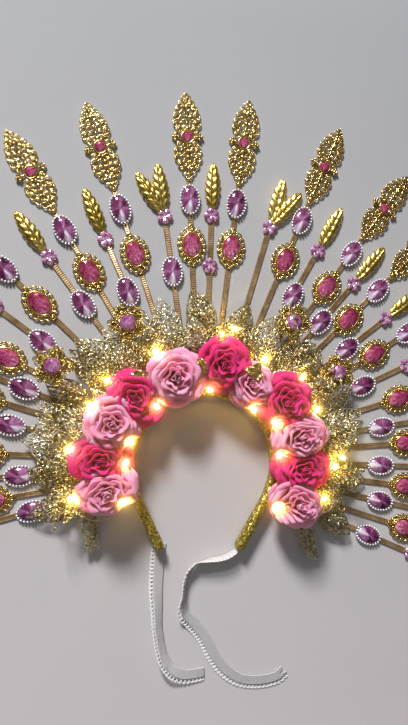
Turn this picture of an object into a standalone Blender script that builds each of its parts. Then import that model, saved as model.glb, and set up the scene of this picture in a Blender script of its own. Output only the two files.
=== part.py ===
"""Halo crown headband lying flat on its back, fanned with stone-set straps and dressed with roses."""

import math

import bmesh
import bpy
from mathutils import Matrix, Vector

mm = 0.001
fit_gap = 0.3 * mm  # left between neighbouring pieces

# Arch of the headband, seen from above: an arc with two straight legs
arch_radius = 65.2 * mm
arch_half_angle = 117.5
leg_length = 51.0 * mm
band_thick = 9.0 * mm
band_high = 12.0 * mm
band_steps = 18
band_corner_share = 0.55
band_round = 0.7
tip_taper = 3.0 * mm
tip_share = 0.55

# Straps
strap_wide = 4.8 * mm
strap_thick = 1.4 * mm
strap_tuck = 3.2 * mm  # how far a strap's end lies inside the arch's centre line
left_pitch = 6.6
right_pitch = 6.25
heading_reach = 134.8 * mm  # how far outside the arch the heading in the ray table is read
slide = 20.0 * mm  # farthest that a ray's ornaments are slid along it
sink = 0.5 * mm  # how deep an ornament's back is set over the strap

# Stones on the straps: half width, half length and height above the strap
gold_stone_size = (13.0 * mm, 18.5 * mm, 4.2 * mm)
lilac_stone_size = (9.8 * mm, 14.0 * mm, 3.8 * mm)
flower_radius = 7.2 * mm
flower_high = 3.2 * mm
flower_edge_share = 0.45
flower_notch = 0.66
frame_level = 0.4
frame_inner = 0.68
frame_table = 0.4
frame_lip = 0.3 * mm

# Middles of the ornaments, measured out from the arch's centre line
long_gold_at = 130.8 * mm
long_lilac_at = 171.3 * mm
long_finial_at = 226.8 * mm
short_lilac_at = 106.8 * mm
short_flower_at = 155.8 * mm
short_leaf_at = 181.8 * mm
low_flower_at = 110.8 * mm

# Pierced finials and gold leaves
finial_half_length = 39.5 * mm
finial_half_wide = 14.0 * mm
finial_thick = 1.1 * mm
finial_stone_size = (5.3 * mm, 5.3 * mm, 3.0 * mm)
leaf_half_length = 20.5 * mm
leaf_half_wide = 7.2 * mm
leaf_high = 2.6 * mm
leaf_edge_rise = 0.9 * mm
leaf_ridge_drop = 0.6 * mm
leaf_tip_rise = 1.2 * mm
leaf_splay = 27.0
leaf_set_back = 2.2 * mm  # how far a splayed second leaf starts behind the first
leaf_lift = 0.33 * mm
leaf_aside = 0.9 * mm

# Foliage backing and blades
backing_gap = 3.6 * mm  # between the band's wall and the backing
backing_deep = 14.7 * mm
backing_slope = 0.9 * mm  # fall of the backing's top toward the blades
low_blade_band = 2.8 * mm
high_blade_band = 3.0 * mm
blade_half_wide = 5.3 * mm
blade_root_length = 25.0 * mm
blade_reach = 62.0 * mm  # from the backing to a tip of share 1 in the foliage table
low_blade_rise = 3.7 * mm
high_blade_rise = 2.2 * mm
blade_tip_rise = 2.3 * mm
high_tip_rise = 7.3 * mm
blade_fold = 1.2 * mm
blade_keel = 0.3
blade_lean = 1.2
ear_hang = 40.0 * mm
ear_level = 8.0 * mm
ear_radius = 4.5 * mm
stem_radius = 1.6 * mm

# Roses
rose_half = 20.0 * mm
rose_reach = 25.0 * mm  # from the arch to a middle of share 1 in the rose table
rose_high = 28.0 * mm
rose_clearance = 1.0 * mm
petal_band = 3.5 * mm  # height over which a petal keeps clear of the rose above it

# Brooches
brooch_radius = 17.0 * mm
brooch_high = 6.5 * mm
brooch_lift = 0.4 * mm
brooch_petal_from = 0.6
brooch_petal_cut = 0.7

# Light string
wire_radius = 0.5 * mm
bulb_radius = 2.1 * mm
bulb_length = 4.6 * mm

# Elastic ties
tie_wide = 12.0 * mm
tie_thick = 1.0 * mm
tie_drop = 120.0 * mm  # the tie routes are shares of it

strap_under = strap_thick + fit_gap
band_top = strap_under + band_high
backing_top = band_top
backing_inner = arch_radius + band_thick / 2 + backing_gap
backing_outer = backing_inner + backing_deep
high_tip_z = band_top + high_tip_rise
rose_base_z = band_top + fit_gap


def clear_scene():
    for old in list(bpy.data.objects):
        bpy.data.objects.remove(old, do_unlink=True)


def new_collection(name):
    made = bpy.data.collections.new(name)
    bpy.context.scene.collection.children.link(made)
    return made


clear_scene()
parts = new_collection("halo_crown_headband")
tools = new_collection("cutters")


def material(name, colour, roughness, metallic=0.0):
    made = bpy.data.materials.new(name)
    made.use_nodes = True
    shader = made.node_tree.nodes["Principled BSDF"]
    shader.inputs["Base Color"].default_value = (*colour, 1.0)
    shader.inputs["Roughness"].default_value = roughness
    shader.inputs["Metallic"].default_value = metallic
    return made


def polar(angle, radius, z=0.0):
    """Point at an angle in degrees from +Y, clockwise, round the arch's centre."""
    turn = math.radians(angle)
    return Vector((radius * math.sin(turn), radius * math.cos(turn) - arch_radius, z))


def new_object(name, mesh, collection):
    made = bpy.data.objects.new(name, mesh)
    collection.objects.link(made)
    if collection is tools:
        made.hide_render = True
        made.display_type = "WIRE"
    return made


def finish(bm, name, collection):
    """Closes off a bmesh as an object with its faces turned outward."""
    bmesh.ops.recalc_face_normals(bm, faces=bm.faces)
    mesh = bpy.data.meshes.new(name)
    bm.to_mesh(mesh)
    bm.free()
    return new_object(name, mesh, collection)


def evaluated_mesh(source):
    bpy.context.view_layer.update()
    depsgraph = bpy.context.evaluated_depsgraph_get()
    return bpy.data.meshes.new_from_object(source.evaluated_get(depsgraph))


def weld(mesh):
    bm = bmesh.new()
    bm.from_mesh(mesh)
    bmesh.ops.remove_doubles(bm, verts=bm.verts, dist=0.001 * mm)
    bmesh.ops.recalc_face_normals(bm, faces=bm.faces)
    bm.to_mesh(mesh)
    bm.free()


def curve_to_mesh(curve_object, name, collection):
    mesh = evaluated_mesh(curve_object)
    weld(mesh)
    made = new_object(name, mesh, collection)
    made.matrix_world = curve_object.matrix_world.copy()
    bpy.data.objects.remove(curve_object, do_unlink=True)
    return made


def join_solids(base, additions):
    """Fuses each addition to the base with an exact union, worked in millimetres."""
    for piece in [base] + additions:
        piece.data.transform(Matrix.Scale(1.0 / mm, 4))
    for piece in additions:
        fuse = base.modifiers.new("fuse", "BOOLEAN")
        fuse.operation = "UNION"
        fuse.solver = "EXACT"
        fuse.object = piece
        mesh = evaluated_mesh(base)
        base.modifiers.clear()
        base.data = mesh
        bpy.data.objects.remove(piece, do_unlink=True)
    mesh.transform(Matrix.Scale(mm, 4))
    bm = bmesh.new()
    bm.from_mesh(mesh)
    bmesh.ops.dissolve_limit(bm, angle_limit=math.radians(0.2), verts=bm.verts, edges=bm.edges)
    bm.to_mesh(mesh)
    bm.free()


def turned(bm, profile, half_sizes, sides, at=(0.0, 0.0, 0.0), notch=1.0):
    """Turns a profile of (share of half size, height) about Z; every other side may be notched."""
    fresh = bmesh.new()
    spine = [fresh.verts.new((share, 0.0, height)) for share, height in profile]
    edges = [fresh.edges.new(pair) for pair in zip(spine, spine[1:])]
    bmesh.ops.spin(
        fresh, geom=spine + edges, axis=(0, 0, 1), cent=(0, 0, 0),
        angle=math.tau, steps=sides, use_merge=True,
    )
    bmesh.ops.remove_doubles(fresh, verts=fresh.verts, dist=0.0001)
    step = math.tau / sides
    for vert in fresh.verts:
        place = round(math.atan2(vert.co.y, vert.co.x) / step)
        pull = notch if place % 2 else 1.0
        vert.co.x *= half_sizes[0] * pull
        vert.co.y *= half_sizes[1] * pull
    bmesh.ops.translate(fresh, verts=fresh.verts, vec=at)
    bmesh.ops.recalc_face_normals(fresh, faces=fresh.faces)
    scratch = bpy.data.meshes.new("turned")
    fresh.to_mesh(scratch)
    fresh.free()
    bm.from_mesh(scratch)
    bpy.data.meshes.remove(scratch)


def stone_profile(size, table_share, frame_share):
    """Frame wall, bezel slope, eight crown facets and a flat table, from the back up."""
    back = strap_thick - sink
    high = size[2]
    return [
        (0.0, back), (1.0, back), (1.0, back + sink + high * frame_share),
        (table_share, strap_thick + high), (0.0, strap_thick + high),
    ]


def add_stone(bm, size, along, table_share=0.5, frame_share=0.42):
    turned(bm, stone_profile(size, table_share, frame_share), size[:2], 8, at=(0, along, 0))


def add_framed_stone(bm, size, along):
    back = strap_thick - sink
    frame_z = strap_thick + frame_level * size[2]
    top = strap_thick + size[2]
    profile = [
        (0.0, back), (1.0, back), (1.0, frame_z), (frame_inner, frame_z + frame_lip),
        (frame_table, top), (0.0, top),
    ]
    turned(bm, profile, size[:2], 8, at=(0, along, 0))


def add_flower(bm, along):
    back = strap_thick - sink
    profile = [
        (0.0, back), (1.0, back), (1.0, strap_thick + flower_edge_share * flower_high),
        (0.0, strap_thick + flower_high),
    ]
    turned(bm, profile, (flower_radius, flower_radius), 10, at=(0, along, 0), notch=flower_notch)


# Half outline of a finial: share along its length, share of its half width
finial_outline = [
    (-1.0, 0.1), (-0.76, 0.36), (-0.56, 0.72), (-0.34, 0.56), (-0.1, 1.0),
    (0.1, 1.0), (0.34, 0.6), (0.56, 0.7), (0.78, 0.32), (1.0, 0.1),
]
# Piercings: middle along, middle across, half length and half width, as the same shares
finial_piercings = [(0.42, 0.0, 0.2, 0.3), (-0.38, 0.36, 0.11, 0.12), (-0.38, -0.36, 0.11, 0.12)]


def closed_spline(curve, points):
    spline = curve.splines.new("POLY")
    spline.points.add(len(points) - 1)
    for point, (x, y) in zip(spline.points, points):
        point.co = (x, y, 0.0, 1.0)
    spline.use_cyclic_u = True


def finial_mesh():
    """A pierced plate: a filled flat outline with lozenge piercings, raised on the strap."""
    curve = bpy.data.curves.new("finial", "CURVE")
    curve.dimensions = "2D"
    curve.fill_mode = "BOTH"
    curve.extrude = finial_thick / 2
    right = [(wide * finial_half_wide, along * finial_half_length) for along, wide in finial_outline]
    left = [(-x, y) for x, y in reversed(right)]
    closed_spline(curve, right + left)
    for along, across, half_long, half_wide in finial_piercings:
        x, y = across * finial_half_wide, along * finial_half_length
        dx, dy = half_wide * finial_half_wide, half_long * finial_half_length
        closed_spline(curve, [(x, y - dy), (x + dx, y), (x, y + dy), (x - dx, y)])
    flat = bpy.data.objects.new("finial_curve", curve)
    tools.objects.link(flat)
    plate = curve_to_mesh(flat, "finial_plate", tools)
    mesh = plate.data
    mesh.transform(Matrix.Translation((0, 0, strap_thick - sink + finial_thick / 2)))
    bpy.data.objects.remove(plate, do_unlink=True)
    return mesh


def loft(bm, rings, start_tip=None, end_tip=None):
    """Skins a run of rings of equal count, closing each end with a tip or a flat cap."""
    loops = [[bm.verts.new(point) for point in ring] for ring in rings]
    count = len(loops[0])
    for here, there in zip(loops, loops[1:]):
        for i in range(count):
            j = (i + 1) % count
            bm.faces.new((here[i], here[j], there[j], there[i]))
    for loop, tip in ((loops[0], start_tip), (loops[-1], end_tip)):
        if tip is None:
            bm.faces.new(loop)
        else:
            point = bm.verts.new(tip)
            for i in range(count):
                bm.faces.new((loop[i], loop[(i + 1) % count], point))
    return loops


# Leaf sections: share along, share of the half width, share of the ridge's height
leaf_sections = [(-1.0, 0.16, 0.5), (-0.35, 0.95, 0.9), (0.3, 0.85, 1.0)]


def leaf_object(along, splay):
    """A folded leaf that lies over the strap's end, turned about its stalk by the splay."""
    bm = bmesh.new()
    back = strap_thick - sink
    rings = []
    for place, wide, high in leaf_sections:
        y = leaf_half_length * (place + 1.0)
        x = leaf_half_wide * wide
        edge = back + leaf_edge_rise
        ridge = edge + leaf_high * high - leaf_ridge_drop
        rings.append([(-x, y, edge), (0, y, back), (x, y, edge), (0, y, ridge)])
    loft(bm, rings, end_tip=(0, 2 * leaf_half_length, back + leaf_tip_rise))
    start = along - leaf_half_length
    place = Matrix.Translation((0, start, 0))
    if splay:
        place = Matrix.Translation((-math.copysign(leaf_aside, splay), start - leaf_set_back, leaf_lift))
    bmesh.ops.transform(bm, matrix=place @ Matrix.Rotation(math.radians(splay), 4, "Z"), verts=bm.verts)
    return finish(bm, "leaf", tools)


# Each ray from the wearer's left tip round to the other: heading in degrees and how far its
# ornaments are slid outward as a share of the slide. kind says what it carries.
ray_table = [
    {"heading": -106.5, "shift": -1, "kind": "short"},
    {"heading": -101.0, "shift": -0.7, "kind": "long"},
    {"heading": -95.0, "shift": -0.7, "kind": "short"},
    {"heading": -88.5, "shift": -0.5, "kind": "long"},
    {"heading": -80.0, "shift": -0.1, "kind": "short"},
    {"heading": -74.5, "shift": 0, "kind": "long"},
    {"heading": -69.0, "shift": -0.15, "kind": "short"},
    {"heading": -63.5, "shift": -0.15, "kind": "long"},
    {"heading": -55.0, "shift": 0.2, "kind": "short"},
    {"heading": -48.0, "shift": 0.2, "kind": "long"},
    {"heading": -39.5, "shift": 0.2, "kind": "short"},
    {"heading": -33.5, "shift": 0.05, "kind": "long"},
    {"heading": -26.5, "shift": -0.25, "kind": "short"},
    {"heading": -21.0, "shift": 0, "kind": "long"},
    {"heading": -12.0, "shift": 0.1, "kind": "short leaf left"},
    {"heading": -6.0, "shift": 0, "kind": "long"},
    {"heading": -1.0, "shift": 0.1, "kind": "short low flower"},
    {"heading": 4.5, "shift": 0, "kind": "long"},
    {"heading": 13.0, "shift": 0.1, "kind": "short leaf right"},
    {"heading": 19.5, "shift": 0.2, "kind": "long"},
    {"heading": 26.0, "shift": 0.1, "kind": "short"},
    {"heading": 33.0, "shift": 0.15, "kind": "long"},
    {"heading": 38.0, "shift": -0.1, "kind": "short"},
    {"heading": 43.5, "shift": -0.25, "kind": "long"},
    {"heading": 50.0, "shift": 0, "kind": "short"},
    {"heading": 56.0, "shift": -0.2, "kind": "long"},
    {"heading": 63.0, "shift": -0.2, "kind": "short"},
    {"heading": 70.5, "shift": 0.1, "kind": "long"},
    {"heading": 77.5, "shift": 0.15, "kind": "short"},
    {"heading": 83.0, "shift": 0.15, "kind": "long"},
    {"heading": 89.5, "shift": 0, "kind": "short"},
    {"heading": 95.0, "shift": 0.2, "kind": "long"},
    {"heading": 100.5, "shift": 0.2, "kind": "short"},
    {"heading": 106.0, "shift": 0.6, "kind": "long"},
    {"heading": 111.5, "shift": 0.15, "kind": "short"},
]
middle_ray = 16
middle_heading = ray_table[middle_ray]["heading"]
straps_gold = (0.52, 0.38, 0.2)


def build_ray(number, row, plate):
    """One strap along local +Y from its tucked end, with everything that is glued on it."""
    pitch = left_pitch if number < middle_ray else right_pitch
    inner_angle = middle_heading + (number - middle_ray) * pitch
    inner = polar(inner_angle, arch_radius - strap_tuck)
    outer = polar(row["heading"], arch_radius + heading_reach)
    run = outer - inner

    def along(reach):
        return reach + strap_tuck + row["shift"] * slide

    stones = bmesh.new()
    additions = []
    if row["kind"] == "long":
        add_framed_stone(stones, gold_stone_size, along(long_gold_at))
        add_stone(stones, lilac_stone_size, along(long_lilac_at))
        finial_place = along(long_finial_at)
        finial = new_object("finial", plate.copy(), tools)
        finial.data.transform(Matrix.Translation((0, finial_place, 0)))
        additions.append(finial)
        add_stone(stones, finial_stone_size, finial_place)
        strap_end = finial_place + finial_stone_size[1] / 2
    else:
        leaf_place = along(short_leaf_at)
        additions.append(leaf_object(leaf_place, 0.0))
        if "low flower" in row["kind"]:
            add_flower(stones, along(low_flower_at))
        elif "right" not in row["kind"]:
            add_stone(stones, lilac_stone_size, along(short_lilac_at))
        if "left" in row["kind"]:
            additions.append(leaf_object(leaf_place, leaf_splay))
        if "right" in row["kind"]:
            additions.append(leaf_object(leaf_place, -leaf_splay))
        add_flower(stones, along(short_flower_at))
        strap_end = leaf_place
    additions.append(finish(stones, "stones", tools))

    strap = bmesh.new()
    bmesh.ops.create_cube(strap, size=1.0)
    bmesh.ops.scale(strap, vec=(strap_wide, strap_end, strap_thick), verts=strap.verts)
    bmesh.ops.translate(strap, vec=(0, strap_end / 2, strap_thick / 2), verts=strap.verts)
    ray = finish(strap, f"strap_ray_{number + 1:02d}", parts)
    join_solids(ray, additions)
    ray.location = inner
    ray.rotation_euler.z = math.atan2(-run.x, run.y)
    ray.data.materials.clear()
    ray.data.materials.append(material(ray.name, straps_gold, 0.35, 0.8))


def arch_point(angle, radius):
    """Point on a line that keeps one distance from the arch's centre line, legs included."""
    side = math.copysign(1.0, angle)
    over = max(0.0, abs(angle) - arch_half_angle)
    turn = min(abs(angle), arch_half_angle)
    point = polar(side * turn, radius)
    step = math.radians(over) * arch_radius
    heading = math.radians(turn)
    return point + Vector((side * math.cos(heading) * step, -math.sin(heading) * step, 0))


def build_band():
    """Rounded section swept along the arch and down both legs, with tapered tips."""
    half_thick, half_high = band_thick / 2, band_high / 2
    cut_x, cut_y = half_thick * band_corner_share, half_high * (1 - (1 - band_corner_share) * band_round)
    section = bpy.data.curves.new("band_section", "CURVE")
    section.dimensions = "2D"
    closed_spline(section, [
        (half_thick, -cut_y), (half_thick, cut_y), (cut_x, half_high), (-cut_x, half_high),
        (-half_thick, cut_y), (-half_thick, -cut_y), (-cut_x, -half_high), (cut_x, -half_high),
    ])
    section_object = new_object("band_section", section, tools)

    leg_angle = math.degrees(leg_length / arch_radius)
    taper_angle = math.degrees(tip_taper / arch_radius)
    arc = [-arch_half_angle + i * 2 * arch_half_angle / band_steps for i in range(band_steps + 1)]
    end = arch_half_angle + leg_angle
    stops = [(-end, tip_share), (taper_angle - end, 1.0)]
    stops += [(angle, 1.0) for angle in arc]
    stops += [(end - taper_angle, 1.0), (end, tip_share)]

    path = bpy.data.curves.new("band_path", "CURVE")
    path.dimensions = "3D"
    path.twist_mode = "Z_UP"
    path.bevel_mode = "OBJECT"
    path.bevel_object = section_object
    path.use_fill_caps = True
    spline = path.splines.new("POLY")
    spline.points.add(len(stops) - 1)
    for point, (angle, share) in zip(spline.points, stops):
        point.co = (*arch_point(angle, arch_radius).xy, strap_under + half_high, 1.0)
        point.radius = share
    swept = new_object("band_swept", path, tools)
    band = curve_to_mesh(swept, "headband", parts)
    bpy.data.objects.remove(section_object, do_unlink=True)
    band.data.shade_smooth()
    band.data.set_sharp_from_angle(angle=math.radians(40))
    band.data.materials.append(material("headband", (0.36, 0.27, 0.03), 0.45, 0.7))


# Roses from the wearer's left end: angle of the middle in degrees, its reach from the arch and
# its half sizes round and out as shares, which lies over which (0 on top), and the colour
rose_table = [
    {"angle": -103.0, "reach": 0.83, "round": 0.9, "out": 1.2, "layer": 0, "pink": "light"},
    {"angle": -86.5, "reach": 0.99, "round": 0.95, "out": 1.25, "layer": 2, "pink": "hot"},
    {"angle": -66.5, "reach": 0.99, "round": 1.05, "out": 1.1, "layer": 0, "pink": "light"},
    {"angle": -48.0, "reach": 0.87, "round": 1.05, "out": 1.2, "layer": 2, "pink": "hot"},
    {"angle": -22.5, "reach": 0.75, "round": 1.2, "out": 1.1, "layer": 0, "pink": "light"},
    {"angle": 5.5, "reach": 1.03, "round": 1.05, "out": 1.15, "layer": 1, "pink": "hot"},
    {"angle": 24.5, "reach": 0.67, "round": 1, "out": 0.95, "layer": 2, "pink": "light"},
    {"angle": 47.5, "reach": 0.99, "round": 1.1, "out": 1.15, "layer": 1, "pink": "hot"},
    {"angle": 69.0, "reach": 0.83, "round": 0.9, "out": 1.2, "layer": 0, "pink": "light"},
    {"angle": 88.5, "reach": 0.79, "round": 0.95, "out": 1.2, "layer": 2, "pink": "hot"},
    {"angle": 109.0, "reach": 0.79, "round": 0.95, "out": 1.1, "layer": 0, "pink": "light"},
]
layer_high = {0: 1.1, 1: 1.0, 2: 0.92}
rose_sides = 10
# Rose profile: share of the half size, share of the height; each dip parts two rings of petals
low_dip, high_dip = (0.7, 0.56), (0.38, 0.78)
rose_profile = [
    (0.0, 0.0), (0.18, 0.0), (0.7, 0.36), (1.0, 0.62), low_dip,
    (0.6, 0.84), high_dip, (0.26, 1.0), (0.0, 0.95),
]
petal_notch = 0.9
rose_pinks = {"light": (0.83, 0.32, 0.42), "hot": (0.75, 0.02, 0.12)}


def rose_place(row):
    return polar(row["angle"], arch_radius + row["reach"] * rose_reach)


def rose_scale(row):
    return row["round"] * rose_half, row["out"] * rose_half, rose_high * layer_high[row["layer"]]


def envelope_share(row, z):
    """Widest share of a rose's half sizes at or around one height."""
    level = (z - rose_base_z) / rose_scale(row)[2]
    outer = [(high, wide) for wide, high in rose_profile if (wide, high) not in (low_dip, high_dip)][1:-1]
    if level <= outer[0][0]:
        return outer[0][1]
    for (low_z, low_w), (high_z, high_w) in zip(outer, outer[1:]):
        if level <= high_z:
            return low_w + (high_w - low_w) * (level - low_z) / (high_z - low_z)
    return outer[-1][1]


def reach_before(row, other, direction, z, wanted):
    """How far a petal may reach at one height before it meets the rose lying over it."""
    turn = math.radians(other["angle"])
    side, out = Vector((math.cos(turn), -math.sin(turn))), Vector((math.sin(turn), math.cos(turn)))
    share = envelope_share(other, z)
    half_round = other["round"] * rose_half * share + rose_clearance
    half_out = other["out"] * rose_half * share + rose_clearance
    offset = (rose_place(row) - rose_place(other)).xy
    start = Vector((offset @ side / half_round, offset @ out / half_out))
    move = Vector((direction @ side / half_round, direction @ out / half_out))
    a, b, c = move @ move, start @ move, start @ start - 1.0
    inside = b * b - a * c
    if inside <= 0.0 or b >= 0.0:
        return wanted
    return min(wanted, (-b - math.sqrt(inside)) / a)


def build_rose(number, row):
    """Three nested rings of petals on a cup; petals stop short of any rose that lies over them."""
    half_round, half_out, high = rose_scale(row)
    bm = bmesh.new()
    profile = [(wide, level * high) for wide, level in rose_profile]
    turned(bm, profile, (half_round, half_out), rose_sides, notch=petal_notch)
    middle = rose_place(row)
    turn = math.radians(row["angle"])
    side, out = Vector((math.cos(turn), -math.sin(turn))), Vector((math.sin(turn), math.cos(turn)))
    over = [other for other in rose_table if other["layer"] < row["layer"]]
    for vert in bm.verts:
        flat = side * vert.co.x + out * vert.co.y
        z = vert.co.z + rose_base_z
        reach = flat.length
        if reach > 0.01 * mm:
            direction = flat / reach
            for other in over:
                for level in (z - petal_band, z, z + petal_band):
                    reach = reach_before(row, other, direction, level, reach)
            flat = direction * reach
        vert.co = (middle.x + flat.x, middle.y + flat.y, z)
    rose = finish(bm, f"rose_{number + 1:02d}", parts)
    rose.data.materials.append(material(rose.name, rose_pinks[row["pink"]], 0.6))


# Foliage runs: first and last angle in degrees, and each blade's reach as a share
foliage_table = [
    {
        "from": -114.0, "to": -78.0,
        "low": (0.77, 0.84, 1.00, 1.03, 1.00, 0.97), "high": (0.65, 0.77, 0.97, 1.13, 1.00, 1.10),
    },
    {
        "from": -78.0, "to": -41.0,
        "low": (0.97, 1.00, 0.94, 1.00, 0.97, 1.00), "high": (1.00, 0.87, 1.03, 0.97, 1.06, 0.94),
    },
    {
        "from": -41.0, "to": -4.0,
        "low": (1.00, 0.97, 0.94, 1.00, 1.03, 1.00), "high": (1.13, 1.00, 0.94, 1.10, 1.16, 1.03),
    },
    {
        "from": -4.0, "to": 34.0,
        "low": (0.94, 0.90, 1.00, 1.03, 0.97, 1.00), "high": (0.97, 0.87, 1.00, 1.16, 1.00, 1.03),
    },
    {
        "from": 34.0, "to": 76.0,
        "low": (0.97, 1.00, 0.97, 1.00, 0.94, 1.00), "high": (1.03, 1.19, 1.00, 0.94, 1.08, 0.97),
    },
    {
        "from": 76.0, "to": 118.0,
        "low": (1.00, 0.97, 1.00, 0.94, 0.87, 0.77), "high": (1.03, 1.00, 0.94, 1.00, 0.84, 0.71),
    },
]
# Ears that hang from the ends of the foliage: middle line points across and down from the
# backing's end and over the ground, and the ear's radius there, all as shares
left_ear = [
    (-0.48, -0.175, 1.0, 0.4), (-0.53, -0.325, 1.0, 0.7),
    (-0.53, -0.55, 1.12, 1.0), (-0.52, -0.775, 1.0, 0.7),
]
left_ear_tip = (-0.51, -0.975, 0.88)
right_ear = [
    (0.52, -0.35, 1.0, 0.4), (0.58, -0.5, 1.0, 0.8),
    (0.68, -0.7, 1.12, 1.0), (0.8, -0.92, 1.0, 0.8),
]
right_ear_tip = (0.9, -1.12, 0.88)


def arc_quads(bm, section, start, end, steps):
    """Turns a closed section about the arch's centre and caps both ends."""
    rings = []
    for i in range(steps + 1):
        angle = start + (end - start) * i / steps
        rings.append([polar(angle, radius, z) for radius, z in section])
    return loft(bm, rings)


def grow_blade(bm, rows, waist_z, tip_radius, tip_z, lean):
    """Draws one wall patch of six points out to a folded waist and on to a pointed tip."""
    left, centre, right = rows
    middle_angle = (left["angle"] + right["angle"]) / 2
    middle = polar(middle_angle, backing_outer + blade_root_length)
    across = math.radians(middle_angle)
    side = Vector((math.cos(across), -math.sin(across), 0)) * blade_half_wide
    edge_z, ridge_z = Vector((0, 0, waist_z)), Vector((0, 0, waist_z + blade_fold))
    waist_left = bm.verts.new(middle - side + edge_z)
    waist_right = bm.verts.new(middle + side + edge_z)
    ridge = bm.verts.new(middle + ridge_z)
    keel = bm.verts.new(middle + Vector((0, 0, waist_z - blade_keel * blade_fold)))
    tip = bm.verts.new(polar(middle_angle + lean, tip_radius, tip_z))
    for a, b, c in ((left, centre, waist_left), (centre, right, waist_right)):
        first = (a["top"], b["top"], ridge, c) if c is waist_left else (a["top"], b["top"], c, ridge)
        second = (a["low"], b["low"], keel, c) if c is waist_left else (a["low"], b["low"], c, keel)
        bm.faces.new(first)
        bm.faces.new(second)
    bm.faces.new((left["low"], left["top"], waist_left))
    bm.faces.new((right["low"], right["top"], waist_right))
    bm.faces.new((waist_left, ridge, tip))
    bm.faces.new((ridge, waist_right, tip))
    bm.faces.new((waist_left, keel, tip))
    bm.faces.new((keel, waist_right, tip))


def hang_ear(bm, cap, points, tip):
    """Draws the backing's end out along a stem into a drooping ear."""
    shape = [(-1.0, -1.0), (0.6, -1.0), (1.0, -0.35), (1.0, 0.35), (0.6, 1.0), (-1.0, 1.0)]
    loop = cap
    middle = sum((vert.co for vert in cap), Vector()) / len(cap)
    places = [
        Vector((middle.x + x * ear_hang, middle.y + y * ear_hang, z * ear_level))
        for x, y, z in [row[:3] for row in points] + [tip]
    ]
    before = middle
    outward = (cap[1].co - cap[0].co).normalized()
    for place, after, share in zip(places, places[1:], [row[3] for row in points]):
        run = (after - before).normalized()
        up = Vector((0, 0, 1))
        across = run.cross(up).normalized()
        if across @ outward < 0:
            across = -across
        outward = across
        radius = max(stem_radius, ear_radius * share)
        ring = [bm.verts.new(place + (across * x + up * z) * radius) for x, z in shape]
        for i in range(len(ring)):
            j = (i + 1) % len(ring)
            bm.faces.new((loop[i], loop[j], ring[j], ring[i]))
        loop, before = ring, place
    point = bm.verts.new(places[-1])
    for i in range(len(loop)):
        bm.faces.new((loop[i], loop[(i + 1) % len(loop)], point))


def build_foliage(number, row):
    """A curved backing with two layers of pointed blades drawn out of its outer wall."""
    low_top = strap_under + low_blade_band
    high_top = backing_top - backing_slope
    high_base = high_top - high_blade_band
    section = [
        (backing_inner, strap_under), (backing_outer, strap_under), (backing_outer, low_top),
        (backing_outer, high_base), (backing_outer, high_top), (backing_inner, backing_top),
    ]
    gap_angle = math.degrees(fit_gap / backing_inner)
    start, end = row["from"] + gap_angle / 2, row["to"] - gap_angle / 2
    blades = len(row["low"])
    steps = 2 * blades
    bm = bmesh.new()
    loops = arc_quads(bm, section, start, end, steps)
    angles = [start + (end - start) * i / steps for i in range(steps + 1)]
    for layer, low_point, top_point in (("low", 1, 2), ("high", 3, 4)):
        for i, tip_reach in enumerate(row[layer]):
            rows = []
            for column in (2 * i, 2 * i + 1, 2 * i + 2):
                rows.append({
                    "angle": angles[column],
                    "low": loops[column][low_point],
                    "top": loops[column][top_point],
                })
            for a, b in ((0, 1), (1, 2)):
                corner = {rows[a]["low"], rows[a]["top"], rows[b]["low"], rows[b]["top"]}
                patch = [face for face in rows[a]["low"].link_faces if set(face.verts) == corner]
                bmesh.ops.delete(bm, geom=patch, context="FACES_ONLY")
            lean = blade_lean if i % 2 else -blade_lean
            if layer == "low":
                waist_z = strap_under + low_blade_rise
                tip_z = waist_z + blade_tip_rise / 2
            else:
                waist_z = high_top + high_blade_rise
                tip_z = high_tip_z
            tip_radius = backing_outer + tip_reach * blade_reach
            grow_blade(bm, rows, waist_z, tip_radius, tip_z, lean)
    ends = {
        0: (loops[0], left_ear, left_ear_tip),
        len(foliage_table) - 1: (loops[-1], right_ear, right_ear_tip),
    }
    if number in ends:
        cap, points, tip = ends[number]
        patch = [face for face in cap[0].link_faces if set(face.verts) == set(cap)]
        bmesh.ops.delete(bm, geom=patch, context="FACES_ONLY")
        hang_ear(bm, cap, points, tip)
    foliage = finish(bm, f"foliage_{number + 1}", parts)
    foliage.data.materials.append(material(foliage.name, (0.45, 0.3, 0.08), 0.3, 0.9))


# Brooches: angle in degrees and reach as a share of the blades'
brooch_table = [
    {"angle": -58.5, "reach": 1.1}, {"angle": -31.5, "reach": 0.87},
    {"angle": 28.5, "reach": 0.98}, {"angle": 52.5, "reach": 0.92},
]
# Brooch profile: share of the radius, share of the height; petals, then the round stone
brooch_profile = [(0.0, 0.0), (1.0, 0.0), (1.0, 0.22), (0.46, 0.3), (0.44, 0.6), (0.26, 1.0), (0.0, 1.0)]


def build_brooch(number, row):
    """Five lacy petals round a faceted stone, resting on the foliage tips."""
    bm = bmesh.new()
    profile = [(share, level * brooch_high) for share, level in brooch_profile]
    turned(bm, profile, (brooch_radius, brooch_radius), 10)
    petal_step = math.tau / 10
    for vert in bm.verts:
        place = round(math.atan2(vert.co.y, vert.co.x) / petal_step)
        if place % 2 and vert.co.xy.length > brooch_petal_from * brooch_radius:
            vert.co.xy *= brooch_petal_cut
    brooch = finish(bm, f"brooch_{number + 1}", parts)
    radius = backing_outer + row["reach"] * blade_reach
    brooch.location = polar(row["angle"], radius, high_tip_z + brooch_lift)
    brooch.rotation_euler.z = -math.radians(row["angle"])
    brooch.data.materials.append(material(brooch.name, (0.5, 0.36, 0.12), 0.3, 0.9))


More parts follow.
